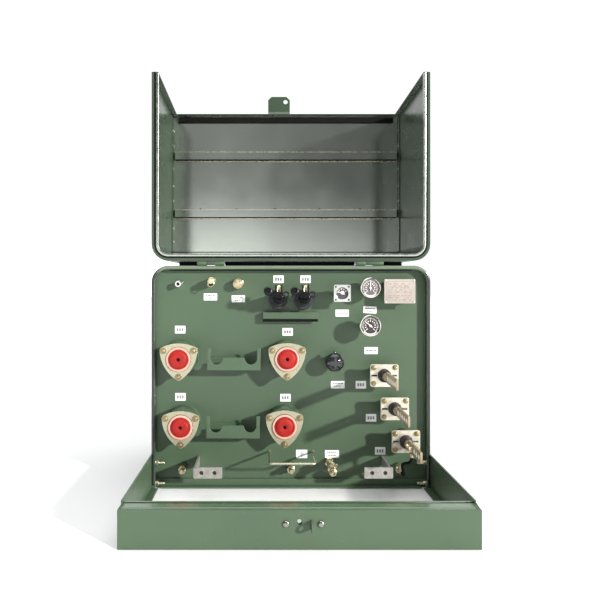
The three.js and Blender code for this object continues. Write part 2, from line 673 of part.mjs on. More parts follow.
function tapKnob() {
  const bore = KNOB_SHAFT + GAP;
  const body = turned([
    [bore, 10 + GAP], [26, 10 + GAP], [32, 16], [34, 24], [33, 32], [25, 40], [10, 43], [0, 43],
    [0, 36 + GAP], [bore, 36 + GAP], [bore, 10 + GAP],
  ], 20);
  const grip = slab(-5, 5, 38, 47, -24, 28);
  const pointer = plate(polygon([[-4, 28], [4, 28], [0, 40]]), 18, 26);
  return joined(body, grip, pointer, slab(-3, 3, 18, 26, 20, 31));
}

function reliefValve() {
  const body = turned([
    [0, BEHIND_WALL], [PLUG_SHANK, BEHIND_WALL], [PLUG_SHANK, ON_FACE], [12, ON_FACE], [12, -2], [15, 0],
    [15, 15], [0, 15],
  ], 14);
  return joined(body, post(18, ON_FACE, -12, 6)).subtract(post(4 + GAP, -4, 16, 10));
}

function reliefPullRing() {
  const stem = joined(post(4, -2, 18, 10), post(9.5, 15 + GAP, 35, 6));
  const ring = post(11, 28, 31, 14, 0, -19).subtract(post(7.5, 27, 32, 12, 0, -19));
  return joined(stem, ring);
}

function fillPlug() {
  return joined(
    post(PLUG_SHANK, BEHIND_WALL, ON_FACE + 1, 14),
    post(17, ON_FACE, -8, 14),
    post(20, -8.5, 4, 6),
    post(15, 3, 14, 6),
  );
}

function drainValve() {
  return joined(
    post(PLUG_SHANK, BEHIND_WALL, ON_FACE + 1, 14),
    post(18, ON_FACE, -10, 6),
    post(12, -11, 36, 14),
    post(17, 35, 58, 6, 0, 3),
    post(14, 57, 72, 6, 2, -8),
    post(9, 71, 80, 12, 2, -8),
    post(4, 50, 68, 8, 15, 14),
  );
}

const valves = [
  ['tap_changer', TAP_CHANGER, tapChanger(), blackPlastic],
  ['tap_knob', TAP_CHANGER, tapKnob(), blackPlastic],
  ['relief_valve', RELIEF_VALVE, reliefValve(), plainBrass],
  ['relief_pull_ring', RELIEF_VALVE, reliefPullRing(), plainBrass],
  ['fill_plug', FILL_PLUG, fillPlug(), plainBrass],
  ['test_valve', TEST_VALVE, post(12, ON_FACE, 4, 6).subtract(post(4, -8, 5, 8)), gaugeSteel],
  ['drain_valve', DRAIN_VALVE, drainValve(), plainBrass],
];
for (const [name, [x, z], body, finish] of valves) addPart(cabinet, name, body, finish, { x, z });

// ---------------------------------------------------------------- grounding

const PAD_FRONT = 116;
const PAD_HEIGHTS = [76, 113];
const PAD_HOLE_SPACING = 44.45;
const PAD_WIDTH = 97;

// Two-hole pad on an upright web that stands out from the tank face.
function groundPad(padLeft, webX) {
  const [bottom, top] = PAD_HEIGHTS;
  const middle = padLeft + PAD_WIDTH / 2;
  const pad = plate(roundedRect(padLeft, padLeft + PAD_WIDTH, bottom, top, 3), PAD_FRONT - 6, PAD_FRONT, 1);
  const web = slab(webX - 3, webX + 3, ON_FACE, PAD_FRONT - 5, bottom + 2, top - 2);
  const holes = [-1, 1].map((side) =>
    post(7, PAD_FRONT - 7, PAD_FRONT + 1, 12, middle + side * PAD_HOLE_SPACING / 2, (bottom + top) / 2));
  return holes.reduce((whole, hole) => whole.subtract(hole), joined(pad, web));
}

// Round rod bent square at both ends, standing clear of the face.
function groundBail() {
  const [x0, x1, front, z, radius] = [-78, 80, 119, 127, 3.4];
  const legs = [x0, x1].map((x) => post(radius, ON_FACE, front, 8, x, z));
  return joined(legs, barX(radius, x0 - radius, x1 + radius, front, z, 8));
}

addPart(cabinet, 'ground_pad_left', groundPad(-336, -333), bareSteel);
addPart(cabinet, 'ground_pad_right', groundPad(243, 332), bareSteel);
addPart(cabinet, 'ground_bail', groundBail(), bareSteel);
const STRAP_ROUTE = [[388, 32.6, 71], [388, 76, 71], [372, 96, 122], [402, 118, 128], [402, 118, 162.6]];
addPart(cabinet, 'ground_strap', rod(STRAP_ROUTE, 5, 17, 8, 14), blackRubber);

// ---------------------------------------------------------------- hood
// Its pieces are drawn as they stand with the hood closed.
// The group then turns them half a turn about the hinge.

const hood = new THREE.Group();
hood.position.z = HINGE_HEIGHT;
hood.rotation.x = Math.PI;
cabinet.add(hood);

const RIM_FRONT = 1;          // back edge of the closed hood, just ahead of the tank's lip
const RIM_THICKNESS = 5;
const SEAM_FRONT = CABINET_DEPTH - HOOD_SHEET;
const RIB_HEIGHT = 33;
const RIB_DROPS = [225, 477];  // below the hood's top edge
const RIB_DEPTH = 18;

function hoodOutline(inset, bottom = HOOD_BOTTOM) {
  return arch(WIDTH / 2 - inset, bottom, TANK_HEIGHT - inset, CORNER_RADIUS - inset);
}

// Height of the hood sides' lower edge, which rises from the hinge side to the front panel.
function edgeHeight(front) {
  const slope = (HOOD_FRONT_BOTTOM - HOOD_BOTTOM) / (CABINET_DEPTH - RIM_FRONT);
  return HOOD_BOTTOM + slope * (front - RIM_FRONT);
}

// Arch-shaped ring between two insets from the hood's outline, open at the bottom.
function rimRing(outerInset, innerInset, back, front) {
  return plate(hoodOutline(outerInset), back, front)
    .subtract(plate(hoodOutline(innerInset, HOOD_BOTTOM - 1), back - 1, front + 1));
}

function hoodHingeLeaf(centre) {
  const half = HINGE_WIDTH / 6 - 0.5;
  const [x0, x1] = [centre - half, centre + half];
  return joined(
    slab(x0, x1, 3, FRONT_STRIP - 4, TANK_HEIGHT - 1, TANK_HEIGHT + 4),
    slab(x0, x1, 3, 9, TANK_HEIGHT - 1, HINGE_HEIGHT - 2),
    barX(KNUCKLE_RADIUS, x0, x1, 0, HINGE_HEIGHT, 12),
  ).subtract(barX(3 + GAP, x0 - 1, x1 + 1, 0, HINGE_HEIGHT, 8));
}

function hoodWrapper() {
  const rimBack = RIM_FRONT + RIM_THICKNESS;
  let wrapper = plate(hoodOutline(0), RIM_FRONT, SEAM_FRONT);
  wrapper = wrapper.subtract(plate(hoodOutline(HOOD_SHEET, HOOD_BOTTOM - 1), rimBack, SEAM_FRONT + 1));
  wrapper = wrapper.subtract(plate(hoodOutline(HOOD_RIM, HOOD_BOTTOM - 1), 0, rimBack + 1));
  wrapper = wrapper.subtract(rimRing(SEAL_INSET, SEAL_INSET + SEAL_WIDTH, 0, RIM_FRONT + 3));
  wrapper = wrapper.subtract(profileX([
    [-1, HOOD_BOTTOM - 1], [CABINET_DEPTH, HOOD_BOTTOM - 1], [CABINET_DEPTH, edgeHeight(CABINET_DEPTH)],
    [RIM_FRONT, HOOD_BOTTOM],
  ], -WIDTH / 2 - 1, WIDTH / 2 + 1));
  const [flangeBack, flangeFront] = [rimBack - 1, SEAM_FRONT - 30];
  const flanges = [-1, 1].map((side) => {
    const [x0, x1] = [side * (WIDTH / 2 - 1), side * (WIDTH / 2 - HOOD_FLANGE)].sort((a, b) => a - b);
    return profileX([
      [flangeBack, edgeHeight(flangeBack)],
      [flangeFront, edgeHeight(flangeFront)],
      [flangeFront, edgeHeight(flangeFront) + HOOD_SHEET],
      [flangeBack, edgeHeight(flangeBack) + HOOD_SHEET],
    ], x0, x1);
  });
  return joined(wrapper, flanges, HINGE_CENTRES.map(hoodHingeLeaf));
}

// Hat section standing on the inside of the front panel, open at both ends.
function hatRib(drop) {
  const middle = TANK_HEIGHT - drop;
  const [z0, z1] = [middle - RIB_HEIGHT / 2, middle + RIB_HEIGHT / 2];
  const shell = slab(-484, 484, SEAM_FRONT - RIB_DEPTH, SEAM_FRONT + 1, z0, z1);
  return shell.subtract(slab(-485, 485, SEAM_FRONT - RIB_DEPTH + 3, SEAM_FRONT, z0 + 3, z1 - 3));
}

function latchTab() {
  const front = CABINET_DEPTH;
  const [x0, x1] = [-77, 19];
  const joggle = profileX([
    [front - 1, 165], [front + 4, 165], [front + 4, 138], [front + 14.5, 126], [front + 14.5, 57],
    [front + 10.5, 57], [front + 10.5, 124], [front - 1, 136],
  ], x0, x1);
  const outline = polygon([
    [x0, 170], [x0, 72], [x0 + 15, 57], [x1 - 15, 57], [x1, 72], [x1, 155], [x1 - 15, 170],
  ]);
  return joggle.intersect(plate(outline, front - 2, front + 16))
    .subtract(post(9.5, front + 9, front + 16, 14, 0, LATCH_HEIGHT));
}

function hoodFront() {
  const bottom = HOOD_FRONT_BOTTOM;
  const skin = plate(hoodOutline(0, bottom), SEAM_FRONT + GAP, CABINET_DEPTH);
  const inner = WIDTH / 2 - HOOD_SHEET - GAP;
  const bottomFlange = slab(-inner, inner, SEAM_FRONT - 26, SEAM_FRONT + 1, bottom, bottom + HOOD_SHEET);
  const sideFlanges = [-1, 1].map((side) => {
    const [x0, x1] = [side * inner, side * (inner - 3)].sort((a, b) => a - b);
    return slab(x0, x1, SEAM_FRONT - 24, SEAM_FRONT + 1, bottom + 1, TANK_HEIGHT - CORNER_RADIUS);
  });
  return joined(skin, bottomFlange, sideFlanges, RIB_DROPS.map(hatRib), latchTab());
}

function hoodSeal() {
  return rimRing(SEAL_INSET + GAP, SEAL_INSET + SEAL_WIDTH - GAP, LIP_FRONT + 1, RIM_FRONT + 3 - GAP);
}

const hoodPlace = { z: -HINGE_HEIGHT };
addPart(hood, 'hood_wrapper', hoodWrapper(), hoodPaint, hoodPlace);
addPart(hood, 'hood_front', hoodFront(), hoodPaint, hoodPlace);
addPart(hood, 'hood_seal', hoodSeal(), blackRubber, hoodPlace);

export default transformer;
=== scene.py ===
"""Looks of a single-phase pad-mounted transformer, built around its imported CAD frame.

Lengths in the tables below are millimetres. x runs to the right, "front" is the distance in front of the
tank's front edge, and z is the height over the ground. point() turns them into the frame's metres.
"""

import json
import math
import random

import bmesh
import bpy
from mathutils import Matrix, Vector
from mathutils.geometry import tessellate_polygon


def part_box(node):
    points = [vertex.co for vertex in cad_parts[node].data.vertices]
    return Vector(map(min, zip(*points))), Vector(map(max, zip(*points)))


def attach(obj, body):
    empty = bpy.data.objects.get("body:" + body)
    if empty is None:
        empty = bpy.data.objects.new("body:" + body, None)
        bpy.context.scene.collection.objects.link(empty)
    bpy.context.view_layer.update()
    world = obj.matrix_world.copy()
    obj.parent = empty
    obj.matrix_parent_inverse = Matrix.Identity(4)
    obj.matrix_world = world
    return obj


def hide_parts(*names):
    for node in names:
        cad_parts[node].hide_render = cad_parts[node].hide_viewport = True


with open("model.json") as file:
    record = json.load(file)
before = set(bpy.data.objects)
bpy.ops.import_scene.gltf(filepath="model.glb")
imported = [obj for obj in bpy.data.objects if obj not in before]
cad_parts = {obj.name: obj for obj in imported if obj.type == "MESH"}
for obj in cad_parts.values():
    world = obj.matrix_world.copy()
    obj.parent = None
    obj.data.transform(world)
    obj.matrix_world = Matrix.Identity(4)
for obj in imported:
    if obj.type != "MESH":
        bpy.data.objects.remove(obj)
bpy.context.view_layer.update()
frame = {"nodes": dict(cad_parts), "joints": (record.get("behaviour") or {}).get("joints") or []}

MM = 0.001
random.seed(7)

# ---- places taken from the frame

# The hinge axis lies in the plane of the tank's front edge.
HINGE = next(j for j in frame["joints"] if j["name"] == "hood_hinge")
FRONT_EDGE_Y = HINGE["pos_m"][1]
HINGE_HEIGHT = HINGE["pos_m"][2] / MM
# The tank's face lies behind its front edge, and what is stuck on it starts just in front of it.
FACE = -28
ON_FACE = FACE + 0.3
TANK_HEIGHT = 800
HALF_WIDTH = 500
CORNER_RADIUS = 60
CABINET_DEPTH = 480
HOOD_BOTTOM = 122
SEAM_FRONT = CABINET_DEPTH - 4


def point(x, front, z):
    return Vector((x * MM, FRONT_EDGE_Y - front * MM, z * MM))


def closed_hood_point(x, front, z):
    """A point of the closed hood, where it is now that the hood stands open."""
    return point(x, -front, 2 * HINGE_HEIGHT - z)


def face_place(node):
    """x and z of a fitting's centre on the tank face."""
    low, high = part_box(node)
    centre = (low + high) / 2
    return centre.x / MM, centre.z / MM


HV = [face_place(f"dust_cap_{i}") for i in range(1, 5)]
LV = [face_place(f"lv_bushing_{i}") for i in range(1, 4)]
PRESSURE = face_place("pressure_gauge")
THERMOMETER = face_place("thermometer_gauge")
LEVEL = face_place("level_gauge")
TAP = face_place("tap_changer")
FILL = face_place("fill_plug")
TEST = face_place("test_valve")
RELIEF = face_place("relief_valve")
NAMEPLATE = face_place("nameplate")

# ---- camera, light and floor


def add_object(name, data):
    obj = bpy.data.objects.new(name, data)
    bpy.context.scene.collection.objects.link(obj)
    return obj


def add_camera():
    data = bpy.data.cameras.new("camera")
    data.sensor_width = 36
    data.lens = 35.24
    data.shift_x = 0.0633
    data.shift_y = -0.0283
    camera = add_object("camera", data)
    camera.location = point(-103.9, 2105, 738.3)
    camera.rotation_euler = (math.pi / 2, 0, 0)
    bpy.context.scene.camera = camera


def add_sun():
    data = bpy.data.lights.new("key", "SUN")
    data.energy = 5.2
    data.angle = 0.05
    data.color = (1.0, 0.985, 0.95)
    direction = Vector((-1.15, 1.0, -0.45))
    add_object("key", data).rotation_euler = direction.to_track_quat("-Z", "Y").to_euler()


def add_world():
    """White backdrop, soft front light that falls off upwards and to both sides, and a light overhead."""
    sky = Nodes("studio", bpy.data.worlds, "Background", "Generated")

    def combined(operation, first, second):
        node = sky.node("Math")
        node.operation = operation
        sky.tree.links.new(first, node.inputs[0])
        sky.tree.links.new(second, node.inputs[1])
        return node.outputs["Value"]

    upward = sky.spread(sky.axis("Z"), 2.1, 0.3, 0.0, 0.15)
    leftward = sky.spread(sky.axis("X"), 0.35, 1.0, -0.8, -0.3)
    rightward = sky.spread(sky.axis("X"), 1.0, 0.4, -0.06, 0.18)
    backdrop = sky.spread(sky.axis("Y"), 0.0, 1.1, -0.05, 0.12)
    overhead = sky.spread(sky.axis("Z"), 0.0, 2.5, 0.66, 0.92)
    front = combined("MULTIPLY", combined("MULTIPLY", upward, leftward), rightward)
    strength = combined("MAXIMUM", combined("MAXIMUM", front, backdrop), overhead)
    bpy.context.scene.world = sky.finish(Strength=strength, Color=(0.99, 0.995, 1.0, 1))


def add_floor():
    paint = Nodes("floor_paint")
    tone = paint.ramp(paint.noise(1.6, 3), [(0.3, (0.86, 0.86, 0.86, 1)), (0.7, (0.89, 0.89, 0.89, 1))])
    mesh = bpy.data.meshes.new("floor")
    half = 30.0
    corners = [(-half, -half, 0), (half, -half, 0), (half, half, 0), (-half, half, 0)]
    mesh.from_pydata(corners, [], [(0, 1, 2, 3)])
    rough = paint.spread(paint.noise(30, 3), 0.7, 0.85)
    mesh.materials.append(paint.finish(Base_Color=tone, Roughness=rough))
    floor = add_object("floor", mesh)
    floor.location.z = -0.0005


# ---- materials


def srgb(red, green, blue):
    """Linear colour of an 8-bit display colour."""

    def linear(value):
        value /= 255
        return value / 12.92 if value <= 0.04045 else ((value + 0.055) / 1.055) ** 2.4

    return (linear(red), linear(green), linear(blue), 1)


class Nodes:
    """Small helper for laying out the nodes of one material, or of the world."""

    def __init__(self, name, owners=bpy.data.materials, shader="Principled BSDF", coordinates="Object"):
        self.owner = owners.new(name)
        self.owner.use_nodes = True
        self.tree = self.owner.node_tree
        self.shader = self.tree.nodes[shader]
        self.coordinates = self.node("TexCoord").outputs[coordinates]

    def node(self, kind, **inputs):
        """Adds a node and feeds its inputs."""
        node = self.tree.nodes.new(f"ShaderNode{kind}")
        self.feed(node, **inputs)
        return node

    def feed(self, node, **inputs):
        """Sets or links inputs; From_Min names the socket "From Min"."""
        for key, value in inputs.items():
            socket = node.inputs[key.replace("_", " ")]
            if isinstance(value, bpy.types.NodeSocket):
                self.tree.links.new(value, socket)
            else:
                socket.default_value = value

    def axis(self, name):
        return self.node("SeparateXYZ", Vector=self.coordinates).outputs[name]

    def noise(self, scale, detail=4.0, stretch=(1, 1, 1), roughness=0.55):
        mapping = self.node("Mapping", Vector=self.coordinates, Scale=stretch)
        return self.node("TexNoise", Vector=mapping.outputs["Vector"], Scale=scale, Detail=detail,
                         Roughness=roughness).outputs["Fac"]

    def ramp(self, value, stops):
        ramp = self.node("ValToRGB", Fac=value)
        elements = ramp.color_ramp.elements
        for element, (position, colour) in zip(elements, stops):
            element.position = position
            element.color = colour
        return ramp.outputs["Color"]

    def spread(self, value, low, high, start=0.3, stop=0.7):
        """Maps start..stop to low..high."""
        return self.node("MapRange", Value=value, From_Min=start, From_Max=stop, To_Min=low,
                         To_Max=high).outputs["Result"]

    def mix(self, factor, first, second):
        node = self.node("Mix")
        node.data_type = "RGBA"
        self.feed(node, Factor=factor, A=first, B=second)
        return node.outputs["Result"]

    def bump(self, height, distance, strength):
        return self.node("Bump", Height=height, Distance=distance, Strength=strength).outputs["Normal"]

    def finish(self, **inputs):
        self.feed(self.shader, **inputs)
        return self.owner


def mixed(colour, other, share):
    return tuple(a + (b - a) * share for a, b in zip(colour, other))


def shade(colour, factor):
    return tuple(channel * factor for channel in colour[:3]) + (1,)


def painted(name, colour, rough=(0.34, 0.46), coat=0.0, metallic=0.0, top=None):
    """Sprayed enamel: soft tone drift, orange-peel skin, a few paler scuffs and specks, and, when top is
    given, a lighter band above about 0.78 m that is painted light on a lit top edge.
    """
    nodes = Nodes(name)
    colour = srgb(*colour)
    drift = nodes.ramp(nodes.noise(2.2, 5), [(0.3, shade(colour, 0.92)), (0.7, shade(colour, 1.08))])
    specks = nodes.spread(nodes.noise(170, 2), 0, 1, 0.68, 0.75)
    body = nodes.mix(specks, drift, shade(colour, 1.25))
    scuffs = nodes.spread(nodes.noise(26, 8, (1, 1, 3), 0.7), 0, 0.2, 0.64, 0.8)
    body = nodes.mix(scuffs, body, mixed(colour, (0.5, 0.55, 0.48, 1), 0.12))
    if top:
        # Painted light: above 0.77 to 0.79 m the colour turns to the top colour, for a top edge in the light.
        painted_top_light = nodes.spread(nodes.axis("Z"), 0, 1, 0.77, 0.79)
        body = nodes.mix(painted_top_light, body, srgb(*top))
    return nodes.finish(Base_Color=body, Roughness=nodes.spread(nodes.noise(9, 4), *rough),
                        Normal=nodes.bump(nodes.noise(420, 2), 0.00012, 0.35),
                        Coat_Weight=coat, Coat_Roughness=0.12, Metallic=metallic)


def brushed(name, colour, rough, scale=40, grain=0.00006, stretch=(1, 1, 1), metallic=1.0):
    """Rolled or brushed metal with fine streaks and faint stains."""
    nodes = Nodes(name)
    colour = srgb(*colour)
    streaks = nodes.noise(scale, 6, stretch)
    tone = nodes.ramp(nodes.noise(18, 4), [(0.3, shade(colour, 0.82)), (0.65, shade(colour, 1.08))])
    return nodes.finish(Base_Color=nodes.mix(nodes.spread(streaks, 0, 0.5), tone, shade(colour, 1.2)),
                        Roughness=nodes.spread(streaks, *rough), Normal=nodes.bump(streaks, grain, 0.5),
                        Metallic=metallic)


def galvanised(name, colour):
    """Blotchy grey metal with crystal-like patches."""
    nodes = Nodes(name)
    colour = srgb(*colour)
    cells = nodes.node("TexVoronoi", Vector=nodes.coordinates, Scale=190).outputs["Distance"]
    patch = nodes.ramp(cells, [(0.0, shade(colour, 1.15)), (0.8, shade(colour, 0.78))])
    tone = nodes.mix(nodes.spread(nodes.noise(60, 5), 0, 0.6), patch, shade(colour, 1.1))
    return nodes.finish(Base_Color=tone, Roughness=nodes.spread(nodes.noise(70, 3), 0.38, 0.6),
                        Normal=nodes.bump(nodes.noise(240, 4), 0.0001, 0.5), Metallic=0.75)


def moulded(name, colour, rough, grain=0.00005, coat=0.0, dust=0.08, gloss=0.5):
    """Moulded plastic, epoxy or rubber: even colour, faint flow marks, light dust."""
    nodes = Nodes(name)
    colour = srgb(*colour)
    flow = nodes.ramp(nodes.noise(30, 4), [(0.3, shade(colour, 0.85)), (0.7, shade(colour, 1.15))])
    dusty = nodes.spread(nodes.noise(110, 5), 0, dust, 0.45, 0.75)
    return nodes.finish(Base_Color=nodes.mix(dusty, flow, (0.5, 0.5, 0.47, 1)),
                        Roughness=nodes.spread(nodes.noise(55, 4), *rough),
                        Normal=nodes.bump(nodes.noise(600, 3), grain, 0.5),
                        Specular_IOR_Level=gloss, Coat_Weight=coat, Coat_Roughness=0.08)


MATERIALS = {
    "tank_paint": painted("tank_enamel", (72, 92, 70)),
    "hood_paint": painted("hood_enamel", (57, 73, 56), (0.24, 0.34), coat=0.15),
    "clamp_paint": painted("clamp_casting", (172, 170, 144), (0.22, 0.34), coat=0.3, metallic=0.4),
    "core_steel": brushed("core_laminations", (80, 84, 90), (0.4, 0.6), 60, stretch=(1, 30, 1)),
    "winding": moulded("winding_paper", (176, 140, 92), (0.6, 0.8), 0.0002),
    "bushing_epoxy": moulded("bushing_epoxy", (40, 34, 34), (0.3, 0.5)),
    "cap_red": moulded("cap_red", (160, 26, 20), (0.38, 0.52), dust=0.02, gloss=0.35),
    "black_plastic": moulded("black_plastic", (10, 11, 15), (0.26, 0.4), dust=0.01, gloss=0.4),
    "bare_steel": galvanised("bare_steel", (196, 192, 186)),
    "spade_metal": brushed("tinned_bar", (176, 160, 134), (0.25, 0.42), 50, stretch=(1, 30, 1),
                           metallic=0.45),
    "gauge_case": brushed("polished_case", (222, 222, 218), (0.08, 0.2), 30, 0.00002),
    "pointer_paint": moulded("pointer_paint", (236, 230, 220), (0.4, 0.6), dust=0.02),
    "nameplate_steel": brushed("etched_plate", (186, 178, 170), (0.35, 0.5), 40, stretch=(40, 1, 1)),
    "brass": brushed("turned_brass", (214, 202, 168), (0.16, 0.32), 90, 0.00008),
    # Black rubber, also used for the black strips that stand in for shade under the lip, the drip pan, the
    # hinges and along the hood panel: painted shade.
    "black_rubber": moulded("black_rubber", (9, 11, 9), (0.55, 0.75), 0.0001, dust=0.01, gloss=0.12),
}
# White label vinyl, also used for the pale rings that stand in for lit spade holes: painted highlight.
LABEL_AND_HOLE_GLINT = moulded("label_vinyl_and_hole_glint", (240, 242, 240), (0.35, 0.5), 0.00002, dust=0.03)
INK = moulded("label_ink", (120, 122, 126), (0.5, 0.6), 0.00001, dust=0.0)
DIAL = moulded("dial_card", (64, 62, 66), (0.5, 0.62), 0.00002, dust=0.04)
PALE_DIAL = moulded("pale_dial_card", (98, 91, 96), (0.5, 0.62), 0.00002, dust=0.04)
# Pale pink for rings that stand in for the red caps' edge highlight: painted highlight.
CAP_RIM_HIGHLIGHT = moulded("pink_cap_highlight", (232, 168, 152), (0.3, 0.45), 0.00004, dust=0.1)
CREAM_PLATE = brushed("cast_clamp_plate", (228, 222, 206), (0.34, 0.5), 60, 0.00012)
GREY_EPOXY = moulded("grey_epoxy", (46, 49, 51), (0.3, 0.45), 0.00006, dust=0.05)
SPRING = brushed("spring_clip", (226, 208, 176), (0.25, 0.4), 80, 0.00005)
DARK_DIAL = moulded("dark_dial_card", (40, 37, 42), (0.5, 0.62), 0.00002, dust=0.04)
# Dark screw metal, also used for discs in the ground pad holes that stand in for shade in the bores: painted
# shade.
SCREW_STEEL_AND_BORE_SHADE = brushed("dark_screws_and_bore_shade", (88, 88, 84), (0.3, 0.5), 90, 0.00004)
ETCH = moulded("etched_fill", (146, 112, 104), (0.5, 0.6), 0.00001, dust=0.0)
GLOSS_BLACK = moulded("gloss_phenolic", (30, 32, 36), (0.07, 0.16), 0.00002, coat=0.8, dust=0.03)
# Near-black fill for the bottoms of holes and bores: painted shade.
HOLE_SHADE = moulded("painted_hole_shade", (14, 18, 14), (0.7, 0.8), 0.00002, dust=0.0)
DULL_BRASS = brushed("dull_brass", (168, 154, 118), (0.3, 0.45), 90, 0.00008)
# A darker copy of the zinc plating for the sill domes, standing in for their shaded side: painted shade.
SHADED_ZINC = brushed("shaded_zinc", (150, 152, 144), (0.14, 0.24), 120, 0.00004)
# Zinc plating, also used for the bright strips along the hood ribs that stand in for light on their edges:
# painted highlight.
ZINC_AND_EDGE_HIGHLIGHT = brushed("zinc_plated_and_edge_highlight", (226, 220, 196), (0.2, 0.36), 120, 0.00006)
# A silvery near-mirror copy of the hood enamel for the inside of the front panel: painted reflection of the
# glossy green sheet.
PANEL_SHEEN = painted("hood_panel_sheen", (184, 191, 182), (0.1, 0.17), metallic=0.94)
# The tank's lip is drawn near-black so its side away from the light reads as painted shade; its lighter top
# band is painted light.
LIP_SHADE_AND_LIGHT = painted("lip_shade_and_light_enamel", (30, 39, 30), (0.24, 0.34), coat=0.6, top=(102, 118, 98))
# A lighter, glossier copy of the tank green for the sill's top ledge: painted light on the lit top.
LEDGE_LIT = painted("ledge_lit_enamel", (82, 104, 80), (0.2, 0.3), coat=0.5)
# Bright metal for the strip along the hood's inner rim, standing in for sky reflected on the glossy rim:
# painted reflection.
RIM_SHEEN = brushed("rim_sheen_strip", (186, 192, 184), (0.2, 0.34), 60, 0.00004)

# ---- mesh tools


class Shape:
    """Closed shells of one piece, as (x, front, z) points in millimetres."""

    def __init__(self):
        self.points = []
        self.faces = []

    def add(self, points, faces):
        start = len(self.points)
        self.points.extend(points)
        self.faces.extend([start + i for i in face] for face in faces)
        return self

    def sweep(self, rings, closed=False):
        """Skins a list of point rings; a ring of one point closes to a tip."""
        points = [p for ring in rings for p in ring]
        starts = [sum(len(ring) for ring in rings[:i]) for i in range(len(rings))]
        faces = []
        pairs = list(zip(range(len(rings) - 1), range(1, len(rings))))
        if closed:
            pairs.append((len(rings) - 1, 0))
        for a, b in pairs:
            first, second = rings[a], rings[b]
            count = max(len(first), len(second))
            for i in range(count):
                k = (i + 1) % count
                if len(first) == 1:
                    faces.append((starts[a], starts[b] + k, starts[b] + i))
                elif len(second) == 1:
                    faces.append((starts[a] + i, starts[a] + k, starts[b]))
                else:
                    faces.append((starts[a] + i, starts[a] + k, starts[b] + k, starts[b] + i))
        if not closed:
            for ring, start in ((rings[0], starts[0]), (rings[-1], starts[-1])):
                if len(ring) > 2:
                    faces.append(tuple(range(start, start + len(ring))))
        return self.add(points, faces)

    def lathe(self, profile, x=0, z=0, sides=48):
        """Turned about an axis out of the face; profile holds (radius, front) pairs."""
        closed = profile[0] == profile[-1]
        rings = []
        for radius, front in profile[:-1] if closed else profile:
            ring = [(x, z)] if radius < 1e-6 else circle(x, z, radius, sides)
            rings.append([(a, front, b) for a, b in ring])
        return self.sweep(rings, closed)

    def post(self, profile, x=0, z=0, sides=48):
        """A lathed solid, its profile closed onto the axis at both ends."""
        return self.lathe([(0, profile[0][1]), *profile, (0, profile[-1][1])], x, z, sides)

    def ring(self, profile, x=0, z=0, sides=48):
        """A lathed band, its profile closed on itself."""
        return self.lathe([*profile, profile[0]], x, z, sides)

    def disc(self, radius, back, front, x=0, z=0, sides=32, edge=0.0):
        """Plain round post, its front edge cut back by edge."""
        rim = [(radius, front - edge), (radius - edge, front)] if edge else [(radius, front)]
        return self.post([(radius, back), *rim], x, z, sides)

    def nut(self, radius, back, front, x=0, z=0, turn=0.0, bore=0.0):
        """Six-sided nut or bolt head with its corners turned off; turn is in radians."""
        first = math.degrees(turn)
        profile = [(radius, back), (radius, front - 1.2), (radius * 0.86, front)]
        self.sweep([[(a, f, b) for a, b in arc(x, z, r, first, first + 300, 5)] for r, f in profile])
        if bore:
            self.disc(bore, back, front + bore * 0.6, x, z, 20, bore * 0.2)
        return self

    def prism(self, outline, back, front, holes=()):
        """Plate with holes: outline and holes are lists of (x, z)."""
        loops = [list(outline)] + [list(hole) for hole in holes]
        flat = [p for loop in loops for p in loop]
        count = len(flat)
        triangles = tessellate_polygon([[Vector((x, z, 0)) for x, z in loop] for loop in loops])
        points = [(x, back, z) for x, z in flat] + [(x, front, z) for x, z in flat]
        if holes:
            faces = [tuple(t) for t in triangles] + [tuple(i + count for i in t) for t in triangles]
        else:
            faces = [tuple(range(count)), tuple(range(count, 2 * count))]
        start = 0
        for loop in loops:
            size = len(loop)
            for i in range(size):
                a, b = start + i, start + (i + 1) % size
                faces.append((a, b, b + count, a + count))
            start += size
        return self.add(points, faces)

    def box(self, x0, x1, back, front, z0, z1):
        return self.prism([(x0, z0), (x1, z0), (x1, z1), (x0, z1)], back, front)

    def tube(self, path, radius, sides=16):
        """Round tube through a list of (x, front, z) points; radius is a number or one per point."""
        path = [Vector(p) for p in path]
        radii = radius if isinstance(radius, list) else [radius] * len(path)
        tangents = []
        for i in range(len(path)):
            ahead = path[min(i + 1, len(path) - 1)] - path[max(i - 1, 0)]
            tangents.append(ahead.normalized())
        side = tangents[0].orthogonal().normalized()
        rings = []
        for place, tangent, r in zip(path, tangents, radii):
            side = (side - tangent * side.dot(tangent)).normalized()
            up = tangent.cross(side)
            rings.append([tuple(place + (side * math.cos(a) + up * math.sin(a)) * r)
                          for a in (2 * math.pi * i / sides for i in range(sides))])
        return self.sweep(rings)

    def join(self, other):
        return self.add(other.points, other.faces)

    def mapped(self, function):
        self.points = [function(*p) for p in self.points]
        return self

    def turned(self, x=0, front=0, z=0, side=1):
        """Stands the shape on edge: what was drawn along x runs along front, and the other way round."""
        return self.mapped(lambda a, b, c: (x + side * b, front + a, z + c))


def polar(cx, cz, radius, degrees):
    angle = math.radians(degrees)
    return cx + radius * math.cos(angle), cz + radius * math.sin(angle)


def arc(cx, cz, radius, start, stop, steps):
    """Points of an arc, angles in degrees."""
    return [polar(cx, cz, radius, start + (stop - start) * i / steps) for i in range(steps + 1)]


def hoop(cx, front, cz, radius, steps, start=0, sweep=360):
    """A path round a circle that faces the viewer."""
    return [(x, front, z) for x, z in arc(cx, cz, radius, start, start + sweep, steps)]


def spun(corners, x, z, degrees):
    """Turns corners about the origin, then moves the origin to x, z."""
    cos, sin = polar(0, 0, 1, degrees)
    return [(x + a * cos - b * sin, z + a * sin + b * cos) for a, b in corners]


def four(x, z, half_width, half_height):
    """Corners of an upright rectangle about x, z."""
    return [(x + a, z + b) for a in (-half_width, half_width) for b in (-half_height, half_height)]


